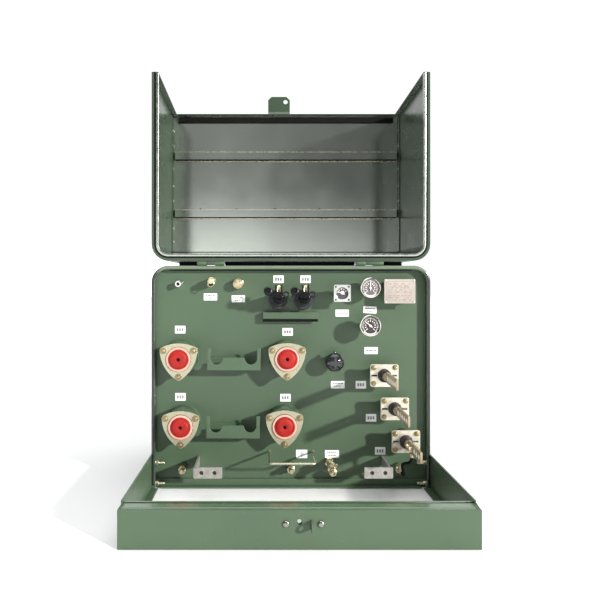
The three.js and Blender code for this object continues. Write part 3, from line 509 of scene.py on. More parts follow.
def thread(crest, root, start, rise, pitch, turns):
    """Profile of a screw thread, one crest and one root for each turn."""
    profile = []
    for k in range(turns):
        profile += [(crest, start + pitch * k), (root, start + rise + pitch * k)]
    return profile


def circle(cx, cz, radius, sides=32):
    return arc(cx, cz, radius, 0, 360, sides)[:-1]


def round_box(x0, x1, z0, z1, radius, steps=5):
    return (arc(x1 - radius, z0 + radius, radius, -90, 0, steps)
            + arc(x1 - radius, z1 - radius, radius, 0, 90, steps)
            + arc(x0 + radius, z1 - radius, radius, 90, 180, steps)
            + arc(x0 + radius, z0 + radius, radius, 180, 270, steps))


def arch_line(inset, bottom, steps=14):
    """The tank's outline from its lower right corner over the top to its lower left, moved in by inset."""
    radius = CORNER_RADIUS - inset
    middle = HALF_WIDTH - CORNER_RADIUS
    top = TANK_HEIGHT - CORNER_RADIUS
    return ([(HALF_WIDTH - inset, bottom)] + arc(middle, top, radius, 0, 90, steps)
            + arc(-middle, top, radius, 90, 180, steps) + [(-HALF_WIDTH + inset, bottom)])


def arch_strip(section, bottom):
    """A strip of one section, given as (inset, front) pairs, run along the arch outline."""
    lines = [arch_line(inset, bottom) for inset, _ in section]
    return Shape().sweep([[(line[i][0], front, line[i][1]) for line, (_, front) in zip(lines, section)]
                          for i in range(len(lines[0]))])


def soften(obj, width):
    """Rounds the edges a little."""
    cut = obj.modifiers.new("edges", "BEVEL")
    cut.width = width * MM
    cut.segments = 2
    cut.limit_method = "ANGLE"
    cut.angle_limit = math.radians(40)
    return cut


def piece(name, shape, slot="tank_paint", material=None, stands_for="", bevel=0.0, body="tank", angle=32,
        place=point):
    """Makes a Shape into an object that rides on a body and takes its finish from a slot."""
    mesh = bpy.data.meshes.new(name)
    mesh.from_pydata([place(*p) for p in shape.points], [], shape.faces)
    mesh.materials.append(material or MATERIALS[slot])
    builder = bmesh.new()
    builder.from_mesh(mesh)
    bmesh.ops.recalc_face_normals(builder, faces=builder.faces)
    builder.to_mesh(mesh)
    builder.free()
    for polygon in mesh.polygons:
        polygon.use_smooth = True
    mesh.set_sharp_from_angle(angle=math.radians(angle))
    obj = add_object(name, mesh)
    if bevel:
        soften(obj, bevel)
    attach(obj, body)
    if stands_for:
        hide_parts(stands_for)
    return obj


def dress(name, slot, bevel):
    """Keeps a CAD node, softens its edges and gives it its material."""
    node = frame["nodes"][name]
    node.data.materials.clear()
    node.data.materials.append(MATERIALS[slot])
    if node.data.has_custom_normals:
        # Stored shading normals no longer fit once the corners are welded and bevelled.
        node.data.attributes.remove(node.data.attributes["custom_normal"])
    for polygon in node.data.polygons:
        # Faces square to the frame are flat sheet; everything else is rolled or turned.
        polygon.use_smooth = max(abs(component) for component in polygon.normal) < 0.9999
        polygon.material_index = 0
    node.modifiers.new("weld", "WELD").merge_threshold = 1e-5
    soften(node, bevel).use_clamp_overlap = True


# ---- kept CAD nodes

KEPT_NODES = (
    # name, slot, width of the rounded edges
    ("tank_shell", "tank_paint", 1.2), ("tank_cover", "tank_paint", 1.2),
    ("radiator_panel", "tank_paint", 1.5), ("core", "core_steel", 1.5),
    ("coil_lv", "winding", 1.5), ("coil_hv", "winding", 1.5),
    ("sill_frame", "tank_paint", 1.0), ("padlock_staple", "tank_paint", 0.8),
    ("hood_wrapper", "hood_paint", 1.0), ("hood_front", "hood_paint", 1.0), ("hood_seal", "black_rubber", 0.6),
)
for name, slot, bevel in KEPT_NODES:
    dress(name, slot, bevel)

# ---- tank front


def weld_bead(name, path, radius, slot="tank_paint"):
    """A painted fillet weld: a rope of overlapping ripples along a path."""
    points = []
    for start, stop in zip(path, path[1:]):
        start, stop = Vector(start), Vector(stop)
        steps = max(2, round((stop - start).length / 5))
        points += [start.lerp(stop, i / steps) for i in range(steps)]
    points.append(Vector(path[-1]))
    radii = [radius * (1 + 0.16 * math.sin(2.1 * i) + random.uniform(-0.08, 0.08))
        for i in range(len(points))]
    piece(name, Shape().tube(points, radii, 8), slot, angle=80)


LIP_ROLL = [(-0.7, -9), (-0.7, -3.2), (0.6, -1.8), (3, -0.6), (6, -0.2), (9, -0.8), (10.2, -1.6),
    (12.6, -3), (12.6, -9)]
piece("lip_roll", arch_strip(LIP_ROLL, 12), material=LIP_SHADE_AND_LIGHT, angle=50)
# A black strip just under the top of the lip stands in for the lip's shadow on the face: painted shade.
lip_shadow_strip = Shape().box(-436, 436, -15, -7.5, 782.6, 786.4)
piece("tank_lip_shadow_strip", lip_shadow_strip, "black_rubber", bevel=0.8)
foot = [(FACE + 7.2, 0.4), (-4, 0.4), (-3, 1.4), (-3, 5.6), (-4, 6.6), (FACE + 7.2, 6.6)]
piece("base_lip", Shape().prism(foot, -470, 470).turned(), bevel=0.6)
weld_bead("lip_weld", [(x, FACE + 0.6, z) for x, z in arch_line(13.6, 34)], 1.8)

for i, (x, z) in enumerate(HV, 1):
    boss = [(60.4, FACE + 0.1), (60.4, 28.8), (59, 30.25), (50.3, 30.25), (50.3, 29.6), (58.4, 29.6),
        (58.4, FACE + 0.1)]
    piece(f"well_boss_{i}", Shape().ring(boss, x, z, 72))
    weld_bead(f"well_weld_{i}", hoop(x, FACE + 0.8, z, 61.5, 60), 2.2)

GROUND_STUDS = ((-389, 71), (0, 71), (388, 71))
for i, (x, z) in enumerate(GROUND_STUDS, 1):
    stud = Shape().ring([(16.6, FACE + 0.1), (16.6, -11), (15.4, -9.7), (9, -9.7), (9, FACE + 0.1)], x, z,
        40)
    piece(f"ground_boss_{i}", stud)
    nut = Shape().nut(15.4, -9.4, 2.4, x, z, 0.35 + i).nut(15.4, 2.7, 8.6, x, z, 0.9 * i)
    nut.post([(8.5, 8), *thread(8.7, 8.1, 9.2, 0.9, 1.9, 12), (7.4, 32.6)], x, z, 28)
    piece(f"ground_nut_{i}", nut, "brass", bevel=0.4)

# ---- high-voltage bushing wells

CLAMP_BOLT_CIRCLE = 61


def clamp_outline(reach, corner, side_reach):
    """Bulged three-cornered plate: rounded corners at -90, 30 and 150 degrees, shallow arcs between."""
    outline = []
    side_offset = 76.5
    side_radius = side_reach + side_offset
    middle = reach - corner
    for k in range(3):
        heading = -90 + 120 * k
        outline += arc(*polar(0, 0, middle, heading), corner, heading - 52, heading + 52, 6)
        hub = polar(0, 0, side_offset, heading + 60 + 180)
        outline += arc(*hub, side_radius, heading + 60 - 24, heading + 60 + 24, 9)
    return outline


for i, (x, z) in enumerate(HV, 1):
    well = [(36, 2), (36, 30.4), (50, 30.4), (50, 43.2), (49, 44.6), (43.4, 44.6), (43.4, 54.2),
        (42.4, 55), (28, 55), (26.2, 53.4), (26.2, 12)]
    piece(f"well_body_{i}", Shape().post(well, x, z, 64), "bushing_epoxy", stands_for=f"hv_well_{i}")
    outline = [(x + a, z + b) for a, b in clamp_outline(reach=74, corner=14, side_reach=56)]
    plate = Shape().prism(outline, 45, 53, [circle(x, z, 43.9, 56)])
    piece(f"well_clamp_{i}", plate, "clamp_paint", stands_for=f"hv_clamp_{i}", bevel=1.6)
    bolts = Shape()
    for heading in (-90, 30, 150):
        bx, bz = polar(x, z, CLAMP_BOLT_CIRCLE, heading)
        bolts.post([(11.4, 52), (11.4, 54.4), (10.8, 54.9)], bx, bz, 32)
        bolts.nut(8.2, 54.9, 61.6, bx, bz, random.uniform(0, 1), 4.2)
    piece(f"well_bolts_{i}", bolts, "brass", DULL_BRASS, bevel=0.35)
    cap = [(25.2, 14), (25.6, 16), (25.6, 55.4), (32.4, 55.6), (33.6, 56.6), (34, 58.6), (33.6, 61),
        (32.2, 62.4), (31, 62.2), (30.3, 61.3), (29.5, 61.3), (28.9, 62.8), (28, 64.2), (26.6, 65),
        (8.2, 65), (6.6, 64.4), (6.1, 63), (6, 55)]
    piece(f"red_cap_{i}", Shape().post(cap, x, z, 64), "cap_red", stands_for=f"dust_cap_{i}",
        body=f"dust_cap_{i}")
    # A near-black disc at the bottom of the cap's centre hole stands in for the shade in the hole: painted
    # shade.
    piece(f"cap_socket_shade_{i}", Shape().disc(6.4, 54, 55.8, x, z, 28), "cap_red", HOLE_SHADE,
        body=f"dust_cap_{i}")
    # A pale pink ring round each red cap stands in for the cap's edge highlight: painted highlight.
    rim = [(34.8, 55.2), (42.6, 55.2), (42.6, 57), (41.2, 58.8), (36.6, 58.8), (34.8, 57.2)]
    piece(f"well_rim_highlight_{i}", Shape().ring(rim, x, z, 64), "cap_red", CAP_RIM_HIGHLIGHT)

# ---- parking stands

STAND_HALF = 94


def stand_outline(x, z):
    """Front plate of a parking stand: two elbow slots open at the top, the middle lower than the arms."""
    half, arm_top, middle_top, slot_radius, slot_floor = STAND_HALF, 78, 45, 21.6, 21
    left, right = -61, 60
    lip = slot_floor + slot_radius
    outline = [(-half, 0), (half, 0), (half, arm_top), (right + slot_radius, arm_top)]
    outline += arc(right, lip, slot_radius, 0, -180, 16)
    outline += [(right - slot_radius, middle_top - 1), (right - slot_radius - 3, middle_top),
                (left + slot_radius + 3, middle_top), (left + slot_radius, middle_top - 1)]
    outline += arc(left, lip, slot_radius, 0, -180, 16)
    outline += [(left - slot_radius, arm_top), (-half, arm_top)]
    return [(x + a, z + b) for a, b in outline]


for name, x, z in (("upper", -203, 431), ("lower", -206, 192)):
    stand = Shape().prism(stand_outline(x, z), 38, 42)
    stand.box(x - STAND_HALF, x + STAND_HALF, ON_FACE, 38.1, z, z + 4)
    stand.box(x - STAND_HALF, x + STAND_HALF, ON_FACE, ON_FACE + 4, z + 3.9, z + 40)
    piece(f"parking_plate_{name}", stand, stands_for=f"parking_stand_{name}", bevel=1.0)
    weld_bead(f"parking_weld_{name}", [(x + a, ON_FACE + 1.5, z + 41.5) for a in (-93, 93)], 2)

# ---- low-voltage bushings

SPADE_HOLES = (108, 137, 166, 195, 224)

for i, (x, z) in enumerate(LV, 1):
    neck = [(30, ON_FACE), (30, 33.4), (22.8, 33.4), (22.8, 42.5), (22, 44), (21.4, 44.4)]
    for ridge in (48, 54, 60):
        neck += [(20.6, ridge - 1.6), (21.3, ridge), (20.6, ridge + 1.6)]
    neck += [(20.8, 63), (18.6, 66.5), (16.8, 69.6), (13.4, 69.9)]
    piece(f"lv_neck_{i}", Shape().post(neck, x, z, 56), "bushing_epoxy", stands_for=f"lv_bushing_{i}")
    slits = [round_box(x + a, x + b, z - 3, z + 3, 2.6) for a, b in ((-46, -24.8), (24.8, 44))]
    plate = Shape().prism(round_box(x - 49.5, x + 49.5, z - 39.5, z + 39.5, 8), 34, 42,
        slits + [circle(x, z, 23.4, 40)])
    piece(f"lv_plate_{i}", plate, "clamp_paint", CREAM_PLATE, f"lv_clamp_{i}", bevel=1.2)
    nuts = Shape()
    for a, b in four(x, z, 38, 28):
        nuts.post([(9.6, 41.5), (9.6, 43.4), (9, 43.9)], a, b, 28)
        nuts.nut(8.3, 43.9, 49.4, a, b, random.uniform(0, 1), 4)
    piece(f"lv_nuts_{i}", nuts, "brass", DULL_BRASS, bevel=0.35)
    collar = Shape().post([(12.6, 70.2), (13.2, 70.8), (13.2, 77), (12.2, 78), (12.2, 79.4), (13.2, 80.4),
        (13.2, 88.4), (12, 90)], x, z, 40)
    # The bar stands on edge: it is drawn flat in (front, z) and turned so that its thickness runs along x.
    bar = [(84, -16.4), (86, -18), (236, -18)] + arc(236, -13, 5, -90, 0, 5)[1:]
    bar += arc(236, 13, 5, 0, 90, 5) + [(86, 18), (84, 16.4)]
    holes = [circle(front, 0, 6.5, 28) for front in SPADE_HOLES]
    spade = Shape().prism(bar, -3.5, 3.5, holes).turned(x, 0, z)
    piece(f"lv_collar_{i}", collar, "spade_metal")
    # Pale rings round the spade holes stand in for the lit hole bores: painted highlight.
    hole_glints = Shape()
    for front in SPADE_HOLES:
        ring = [(6.3, -3.5), (8.6, -3.5), (8.2, -4.1), (6.9, -4.2), (6.3, -3.9)]
        hole_glints.join(Shape().ring(ring, front, 0, 28).turned(x, 0, z))
    piece(f"lv_hole_glints_{i}", hole_glints, "spade_metal", LABEL_AND_HOLE_GLINT)
    piece(f"lv_bar_{i}", spade, "spade_metal", stands_for=f"lv_spade_{i}", bevel=0.9)

# ---- fuses and drip tray

FUSE_TILT = math.radians(12)
PIVOT = 100
FUSES = ((-46, 672), (46, 672))

for i, (fuse_x, fuse_z) in enumerate(FUSES, 1):

    def fuse_point(x, front, z, fuse_x=fuse_x, fuse_z=fuse_z):
        """Fuse pieces are drawn level, from the tank face, and lie on the fuse's own slope."""
        return point(fuse_x + x, FACE + front * math.cos(FUSE_TILT) - z * math.sin(FUSE_TILT),
                     fuse_z + front * math.sin(FUSE_TILT) + z * math.cos(FUSE_TILT))

    boss = [(31.4, 1), (31.4, 17), (30.4, 18.25), (24.3, 18.25), (24.3, 17.6), (29.6, 17.6), (29.6, 1)]
    piece(f"fuse_boss_{i}", Shape().ring(boss, sides=48), place=fuse_point)
    housing = [(17, -60), (24, -60), (24, 18.4), (32.6, 18.4), (33.6, 19.4), (33.6, 25), (32.2, 26.6),
        (25.6, 27)]
    for ridge in (31, 37, 43, 49):
        housing += [(24, ridge - 2), (25.2, ridge), (24, ridge + 2)]
    housing += [(24.4, 53), (24.4, 56.8), (23.4, 58), (17.2, 58), (17, 57)]
    piece(f"fuse_tube_{i}", Shape().ring(housing, sides=56), "black_plastic", GREY_EPOXY,
        f"fuse_housing_{i}", place=fuse_point)
    holder = [(0, -56), (16.6, -56), (16.6, 58.3), (22, 58.5), (22.6, 60), (22.6, 66), (21.6, 67.4),
        (21.6, 70), (22.6, 71.4), (22.2, 79), (20.4, 85), (17.4, 90), (0, 90.4)]
    grip = Shape().lathe(holder, sides=56)
    for side in (-1, 1):
        ear = [(85, -9), *arc(PIVOT, 0, 9, -90, 90, 12), (85, 9)]
        grip.join(Shape().prism(ear, 9, 13).turned(side=side))
    for k in range(18):
        grip.disc(1.5, 72, 80, *polar(0, 0, 21.9, 20 * k), 10, 0.6)
    piece(f"fuse_grip_{i}", grip, "black_plastic", stands_for=f"fuse_holder_{i}", bevel=0.5,
        body=f"fuse_holder_{i}", place=fuse_point)
    pin = Shape().post([(4.4, -14.6), (4.4, -13.2), (3, -13.2), (3, 13.2), (4.4, 13.2), (4.4, 14.6)],
        sides=20).turned(front=PIVOT)
    piece(f"fuse_pin_{i}", pin, "bare_steel", body=f"fuse_holder_{i}", place=fuse_point)

    front = PIVOT + 10.5
    handle = Shape().prism(circle(0, 0, 8.5, 28), -8.5, 8.5, [circle(0, 0, 3.3, 20)]).turned(front=PIVOT)
    handle.box(-8, 8, PIVOT + 6, front + 1, -7, 7)
    arm = [(8, -7), (8, 8), *arc(-34.6, 13, 11.5, 75, 255, 10), (-8, -8)]
    handle.prism(arm, front, front + 6)
    for x in (-12.6, 8.6):
        prong = [(PIVOT + 3, 5), (PIVOT + 16, 5), (PIVOT + 17, 30)]
        prong += arc(PIVOT + 12.5, 34, 4.5, 0, 180, 8) + [(PIVOT + 6, 24)]
        handle.join(Shape().prism(prong, x, x + 4).turned())
    handle.box(-12.5, 12.5, PIVOT + 4, PIVOT + 14, 4.5, 10)
    eye = hoop(24.6, front + 3, 3, 9.4, 30, 200, 350)
    handle.tube([(6, front + 3, 1), (15, front + 3, 0.5), *eye], 2.9, 12)
    piece(f"fuse_lever_{i}", handle, "black_plastic", stands_for=f"fuse_handle_{i}", bevel=0.9,
        body=f"fuse_handle_{i}", place=fuse_point)
    knob = [(0, front - 6), (10, front - 6), (12.8, front - 3), (14.4, front + 1), (15.2, front + 6),
        (14.8, front + 11), (12.8, front + 14.6), (10, front + 16), (7.4, front + 12), (0, front + 11.4)]
    piece(f"fuse_knob_{i}", Shape().lathe(knob, -37, 14, 40), "black_plastic", body=f"fuse_handle_{i}",
        place=fuse_point)
    spring = Shape().tube([(-5, PIVOT + 10, 12), (-6, PIVOT + 11, 22), (-3, PIVOT + 12, 33),
        (2, PIVOT + 12, 35), (6, PIVOT + 11, 27), (6.5, PIVOT + 10, 14)], 2.6, 12)
    spring.box(-6, 6.5, PIVOT + 8, PIVOT + 12, 20, 33)
    piece(f"fuse_spring_{i}", spring, "brass", SPRING, bevel=1.0, body=f"fuse_handle_{i}",
        place=fuse_point)

TRAY_LEFT, TRAY_RIGHT, TRAY_TOP = -101, 97, 633
tray = Shape().box(TRAY_LEFT, TRAY_RIGHT, ON_FACE, -2, 609, 612)
tray.box(TRAY_LEFT, TRAY_RIGHT, -5, -2, 611.8, TRAY_TOP)
for wall in (TRAY_LEFT, TRAY_RIGHT - 3):
    tray.box(wall, wall + 3, ON_FACE, -4.8, 611.8, TRAY_TOP)
piece("drip_pan", tray, stands_for="drip_tray", bevel=0.8)
# A black strip under the drip pan stands in for its shadow and dark underside: painted shade.
piece("drip_pan_shadow", Shape().box(TRAY_LEFT, TRAY_RIGHT, -12, -3, 599.5, 608.6), "black_rubber", bevel=1.2)
weld_bead("drip_weld", [(TRAY_LEFT, ON_FACE + 1, 608), (TRAY_RIGHT, ON_FACE + 1, 608)], 1.8)

# ---- gauges and nameplate


def dial_marks(x, z, front, inner, outer, start, stop, count, long_every=5, width=1.3):
    """Raised tick marks from bearing start to stop, clockwise from the top."""
    marks = Shape()
    for k in range(count + 1):
        first, half = (inner - 2.6, width / 2) if k % long_every == 0 else (inner, width / 3.2)
        corners = [(first, -half), (outer, -half), (outer, half), (first, half)]
        turn = 90 - start - (stop - start) * k / count
        marks.prism(spun(corners, x, z, turn), front - 0.1, front + 0.35)
    return marks


def needle(x, z, length, front, bearing):
    tail, half = 9, 1.7
    blade = [(-tail, half), (-tail, -half), (length * 0.75, -half * 0.75), (length, -0.3), (length, 0.3),
        (length * 0.75, half * 0.75)]
    shape = Shape().prism(spun(blade, x, z, 90 - bearing), front, front + 1.4)
    return shape.ring([(1.6, front - 0.2), (4.2, front - 0.2), (4.2, front + 1.8), (3.4, front + 2.4),
        (1.6, front + 2.4)], x, z, 28)


RECESS = 7
GAUGES = (
    # name, place, case radius, dial radius, front, needle length, needle bearing, dial material
    ("level", LEVEL, 0, 21, 37, 17, -68, DIAL),
    ("thermometer", THERMOMETER, 36, 31, 32, 25, 0, PALE_DIAL),
    ("pressure", PRESSURE, 38, 32.5, 47, 26, -50, DARK_DIAL),
)
for name, (x, z), radius, dial, front, length, bearing, card in GAUGES:
    floor = front - RECESS
    if radius:
        case = [(15.2, ON_FACE), (15.2, front - 27), (17, front - 25), (radius - 5, front - 24),
            (radius - 1, front - 20), (radius - 0.4, front - 6), (radius, front - 5),
            (radius, front - 1.8), (radius - 1.4, front - 0.2), (dial + 2, front),
            (dial + 0.7, front - 0.8), (dial, front - 3), (dial, floor)]
        shape = Shape().post(case, x, z, 72)
    else:
        shape = Shape().prism(round_box(x - 30, x + 30, z - 30, z + 30, 5), front - 6, front,
            [circle(x, z, dial + 1, 56)])
        shape.post([(15.2, ON_FACE), (15.2, front - 27), (dial + 5, front - 24), (dial + 5, front - 5.5),
            (dial + 0.8, front - 5.5), (dial, front - 6), (dial, floor)], x, z, 56)
        shape.ring([(dial, front - 6), (dial + 1.2, front - 6), (dial + 1.2, front - 0.4),
            (dial, front - 1)], x, z, 56)
    piece(f"{name}_case", shape, "gauge_case", stands_for=f"{name}_gauge", bevel=0 if radius else 0.8)
    piece(f"{name}_dial", Shape().disc(dial - 0.2, floor + 0.05, floor + 0.8, x, z, 64, 0.3),
        "gauge_case", card)
    if radius:
        marks = dial_marks(x, z, floor + 0.8, dial - 8.5, dial - 3.4, -135, 135, 40)
        marks.join(dial_marks(x, z, floor + 0.8, dial - 15.5, dial - 12.8, -135, 135, 10, 1, 2.6))
        # A pale scale arc along the bottom of the dial.
        scale = arc(x, z, dial - 1.2, 222, 318, 16) + arc(x, z, dial - 4.4, 318, 222, 16)
        marks.prism(scale, floor + 0.7, floor + 1.1)
    else:
        marks = dial_marks(x, z, floor + 0.8, dial - 6, dial - 2.2, -80, 60, 8, 2, 1.8)
        marks.prism(circle(x + 1, z + 2, 6.5, 24), floor + 0.7, floor + 1.0)
        screws = Shape()
        head = [(0, front - 1), (3.6, front - 1), (3.6, front + 0.6), (2.4, front + 1.5),
            (0, front + 1.5)]
        for a, b in four(x, z, 23, 23):
            screws.lathe(head, a, b, 20)
        piece("level_screws", screws, "gauge_case", SCREW_STEEL_AND_BORE_SHADE)
    piece(f"{name}_marks", marks, "pointer_paint")
    piece(f"{name}_needle_blade", needle(x, z, length, front - 5, bearing), "pointer_paint",
        stands_for=f"{name}_pointer", bevel=0.2, body=f"{name}_pointer")

x, z = NAMEPLATE
plate = Shape().prism(round_box(x - 55, x + 55, z - 43, z + 43, 2.5), 23, 26,
    [circle(a, b, 1.9, 16) for a, b in four(x, z, 50, 38)])
for leg in (-34, 38):
    plate.box(x + leg, x + leg + 4, ON_FACE, 23.1, z - 38, z + 38)
    plate.box(x + leg, x + leg + 16, ON_FACE, ON_FACE + 3, z - 38, z + 38)
piece("rating_plate", plate, "nameplate_steel", stands_for="nameplate", bevel=0.5)
rivets = Shape()
rivet = [(0, 22.5), (1.6, 22.5), (1.6, 26.1), (3.4, 26.1), (3, 27.2), (1.6, 27.8), (0, 28)]
for a, b in four(x, z, 50, 38):
    rivets.lathe(rivet, a, b, 20)
piece("plate_rivets", rivets, "bare_steel")
# Engraved-looking table: a frame, row lines and short bars that stand for its entries.
etch = Shape()


def etched(x0, x1, z0, z1):
    etch.box(x + x0, x + x1, 25.9, 26.25, z + z0, z + z1)


etched(-46, 46, 33.6, 34.3)
etched(-46, 46, -34.3, -33.6)
etched(-46.7, -46, -34.3, 34.3)
etched(46, 46.7, -34.3, 34.3)
for row in range(9):
    height = 26 - row * 7
    if row in (2, 5):
        etched(-46, 46, height + 3.2, height + 3.7)
    left = -42
    while left < 38:
        width = random.choice((6, 9, 13, 18))
        if random.random() < 0.72:
            etched(left, min(left + width, 42), height - 1.1, height + 0.9)
        left += width + random.choice((4, 6, 9))
for column in (-14, 17):
    etched(column, column + 0.6, -34, 8)
piece("plate_etching", etch, "nameplate_steel", ETCH)

# ---- tap changer and valves

x, z = TAP
base = [(24, ON_FACE), (24, -16), (22.6, -14.2), (16.4, -12), (16.2, 9.7), (6, 9.7), (6, 35.8)]
piece("tap_base", Shape().post(base, x, z, 48), "black_plastic", stands_for="tap_changer")
dome = [(0, 36.2), (6.3, 36.2), (6.3, 10.4), (25, 10.4), (30.5, 13)]
dome += [(34 * math.cos(math.radians(a)), 22 + 24 * math.sin(math.radians(a))) for a in range(-15, 90, 7)]
knob = Shape().lathe(dome + [(0, 46)], x, z, 64)
knob.prism([(x - 7, z + 26), (x + 7, z + 26), (x + 2.4, z + 40), (x - 2.4, z + 40)], 15, 24)
knob.prism(round_box(x - 4.6, x + 4.6, z - 20, z + 22, 4.4), 40, 47.4)
piece("tap_dome", knob, "black_plastic", GLOSS_BLACK, "tap_knob", bevel=0.8, body="tap_knob")

x, z = RELIEF
valve = Shape().nut(14.6, ON_FACE, -12, x, z, 0.2)
valve.post([(11, -13), (11, -3), (11.6, -2), (13.2, 0), (13.4, 8), (12.6, 9), (12.6, 11), (13.4, 12),
    (13.4, 14), (12.2, 15), (4.6, 15), (4.4, -3)], x, z, 44)
piece("relief_body", valve, "brass", stands_for="relief_valve")
pull = Shape().post([(3.9, -2), (3.9, 15.4), (9.4, 15.6), (9.8, 16.6), (9.8, 33), (8.8, 35)], x, z, 32)
pull.nut(10.8, 19, 29, x, z, 0.5)
pull.tube(hoop(x, 29.5, z - 9, 10.4, 36), 1.9, 10)
pull.tube([(x + 6, 25, z + 3), (x + 11, 24, z + 5), (x + 15.4, 22, z + 7)], 2.2, 10)
piece("relief_pull", pull, "brass", stands_for="relief_pull_ring", bevel=0.3, body="relief_pull_ring")
# A near-black disc inside the pull ring stands in for the shade behind the ring: painted shade.
piece("relief_ring_shade", Shape().disc(7, -10, 15.3, x, z - 11.2, 32, 0.4), "brass", HOLE_SHADE)

x, z = FILL
plug = Shape().disc(19.4, ON_FACE, -8, x, z, 40, 1.2)
plug.post([(18.2, -8), (18.2, 2), (17.4, 3.6), (15.2, 4), (14.4, 2.6), (12.4, 2.6), (11.8, 4.4)], x, z,
    44)
plug.nut(10.8, 4.2, 12.6, x, z, 0.9).disc(4.4, 12.4, 15, x, z, 20, 0.8)
plug.prism([(x + 12, z + 4), (x + 20.6, z + 6), (x + 19.6, z + 11), (x + 11, z + 10)], -4, 3)
piece("fill_plug_head", plug, "brass", stands_for="fill_plug", bevel=0.5, body="fill_plug")

x, z = TEST
sampler = Shape().nut(12.4, ON_FACE, -10, x, z, 0.4).ring([(5, -11), (11, -11), (11, 0), (11.4, 1),
    (11.4, 3), (10.2, 4.2), (6.4, 4.2), (5, 2.6)], x, z, 36)
sampler.tube([(x + 9, -4, z + 2), (x + 15, -3, z + 4), (x + 19, -3, z + 9)], [2.8, 2.6, 2.2], 12)
piece("test_fitting", sampler, "gauge_case", stands_for="test_valve", bevel=0.4)
# A near-black plug in the fitting's bore stands in for the shade inside it: painted shade.
piece("test_bore_shade", Shape().disc(4.8, -11, -4, x, z, 24), "gauge_case", HOLE_SHADE)

DRAIN = (141, 89)
x, z = DRAIN
drain = Shape().nut(18.4, ON_FACE, -10, x, z, 0.1)
drain.post([(12, -11), (12, 2), (13.4, 4), (13.4, 9), (12, 11), (12, 36)], x, z, 40)
drain.nut(17.6, 35, 57, x, z + 3, 0.55).post([(11, 56), (11, 60), (9.6, 61.4)], x, z + 3, 32)
drain.nut(14.4, 57, 72, x + 2, z - 8, 0.2)
drain.ring([(3, 71), (9.4, 71), (9.4, 79), (8.4, 80), (5, 80), (4.4, 76), (3, 76)], x + 2, z - 8, 32)
drain.disc(3.4, 71, 76.5, x + 2, z - 8, 20)
drain.tube([(x + 6, 52, z + 8), (x + 12, 55, z + 12), (x + 15, 60, z + 15), (x + 15, 67.6, z + 16)],
    [4.4, 4.2, 4.2, 3.8], 16)
piece("drain_fitting", drain, "brass", stands_for="drain_valve", bevel=0.5)

# ---- grounding

PAD_WIDTH, PAD_HEIGHT, PAD_HOLE_HEIGHT, PAD_HOLE_OFFSET = 97, 37, 94.5, 22.225
for side, left, web in (("left", -336, -333), ("right", 243, 332)):
    holes = [(left + PAD_WIDTH / 2 + a, PAD_HOLE_HEIGHT) for a in (-PAD_HOLE_OFFSET, PAD_HOLE_OFFSET)]
    pad = Shape().prism(round_box(left, left + PAD_WIDTH, 76, 76 + PAD_HEIGHT, 3), 110, 116,
        [circle(*hole, 7, 28) for hole in holes])
    pad.box(web - 3, web + 3, ON_FACE, 110.1, 78, 111)
    piece(f"pad_{side}", pad, "bare_steel", stands_for=f"ground_pad_{side}", bevel=1.0)
    weld_bead(f"pad_weld_{side}", [(web - 4, ON_FACE + 1, 78), (web - 4, ON_FACE + 1, 111)], 2.2)
    # Dark discs in the pad holes stand in for the shade inside the bores: painted shade.
    bore_shade = Shape()
    for hole in holes:
        bore_shade.disc(6.9, 110.4, 113, *hole, 24)
    piece(f"pad_bore_shade_{side}", bore_shade, "bare_steel", SCREW_STEEL_AND_BORE_SHADE)
    weld_bead(f"pad_joint_{side}", [(web - 4, 109, 79), (web - 4, 109, 110)], 1.6, "bare_steel")

BAIL_LEFT, BAIL_RIGHT, BAIL_FRONT, BAIL_HEIGHT, BEND = -78, 80, 119, 127, 14
bail = [(BAIL_LEFT, ON_FACE), *arc(BAIL_LEFT + BEND, BAIL_FRONT - BEND, BEND, 180, 90, 8),
    *arc(BAIL_RIGHT - BEND, BAIL_FRONT - BEND, BEND, 90, 0, 8), (BAIL_RIGHT, ON_FACE)]
rod = Shape().tube([(a, front, BAIL_HEIGHT) for a, front in bail], 3.5, 18)
for x in (BAIL_LEFT, BAIL_RIGHT):
    rod.post([(5.4, ON_FACE), (5, ON_FACE + 1.4), (3.4, ON_FACE + 3)], x, BAIL_HEIGHT, 24)
piece("bail_rod", rod, "bare_steel", ZINC_AND_EDGE_HIGHLIGHT, "ground_bail")


def bent_path(corners, bend, steps):
    """A path through corners, each inner one rounded to one bend radius."""
    corners = [Vector(c) for c in corners]
    path = [corners[0]]
    for before, corner, after in zip(corners, corners[1:], corners[2:]):
        back, ahead = (before - corner).normalized(), (after - corner).normalized()
        half_angle = back.angle(ahead) / 2
        reach = bend / math.tan(half_angle)
        centre = corner + (back + ahead).normalized() * (bend / math.sin(half_angle))
        start, stop = corner + back * reach - centre, corner + ahead * reach - centre
        sweep = start.angle(stop)
        for k in range(steps + 1):
            share = k / steps
            first = math.sin((1 - share) * sweep) / math.sin(sweep)
            last = math.sin(share * sweep) / math.sin(sweep)
            path.append(centre + start * first + stop * last)
    return path + [corners[-1]]


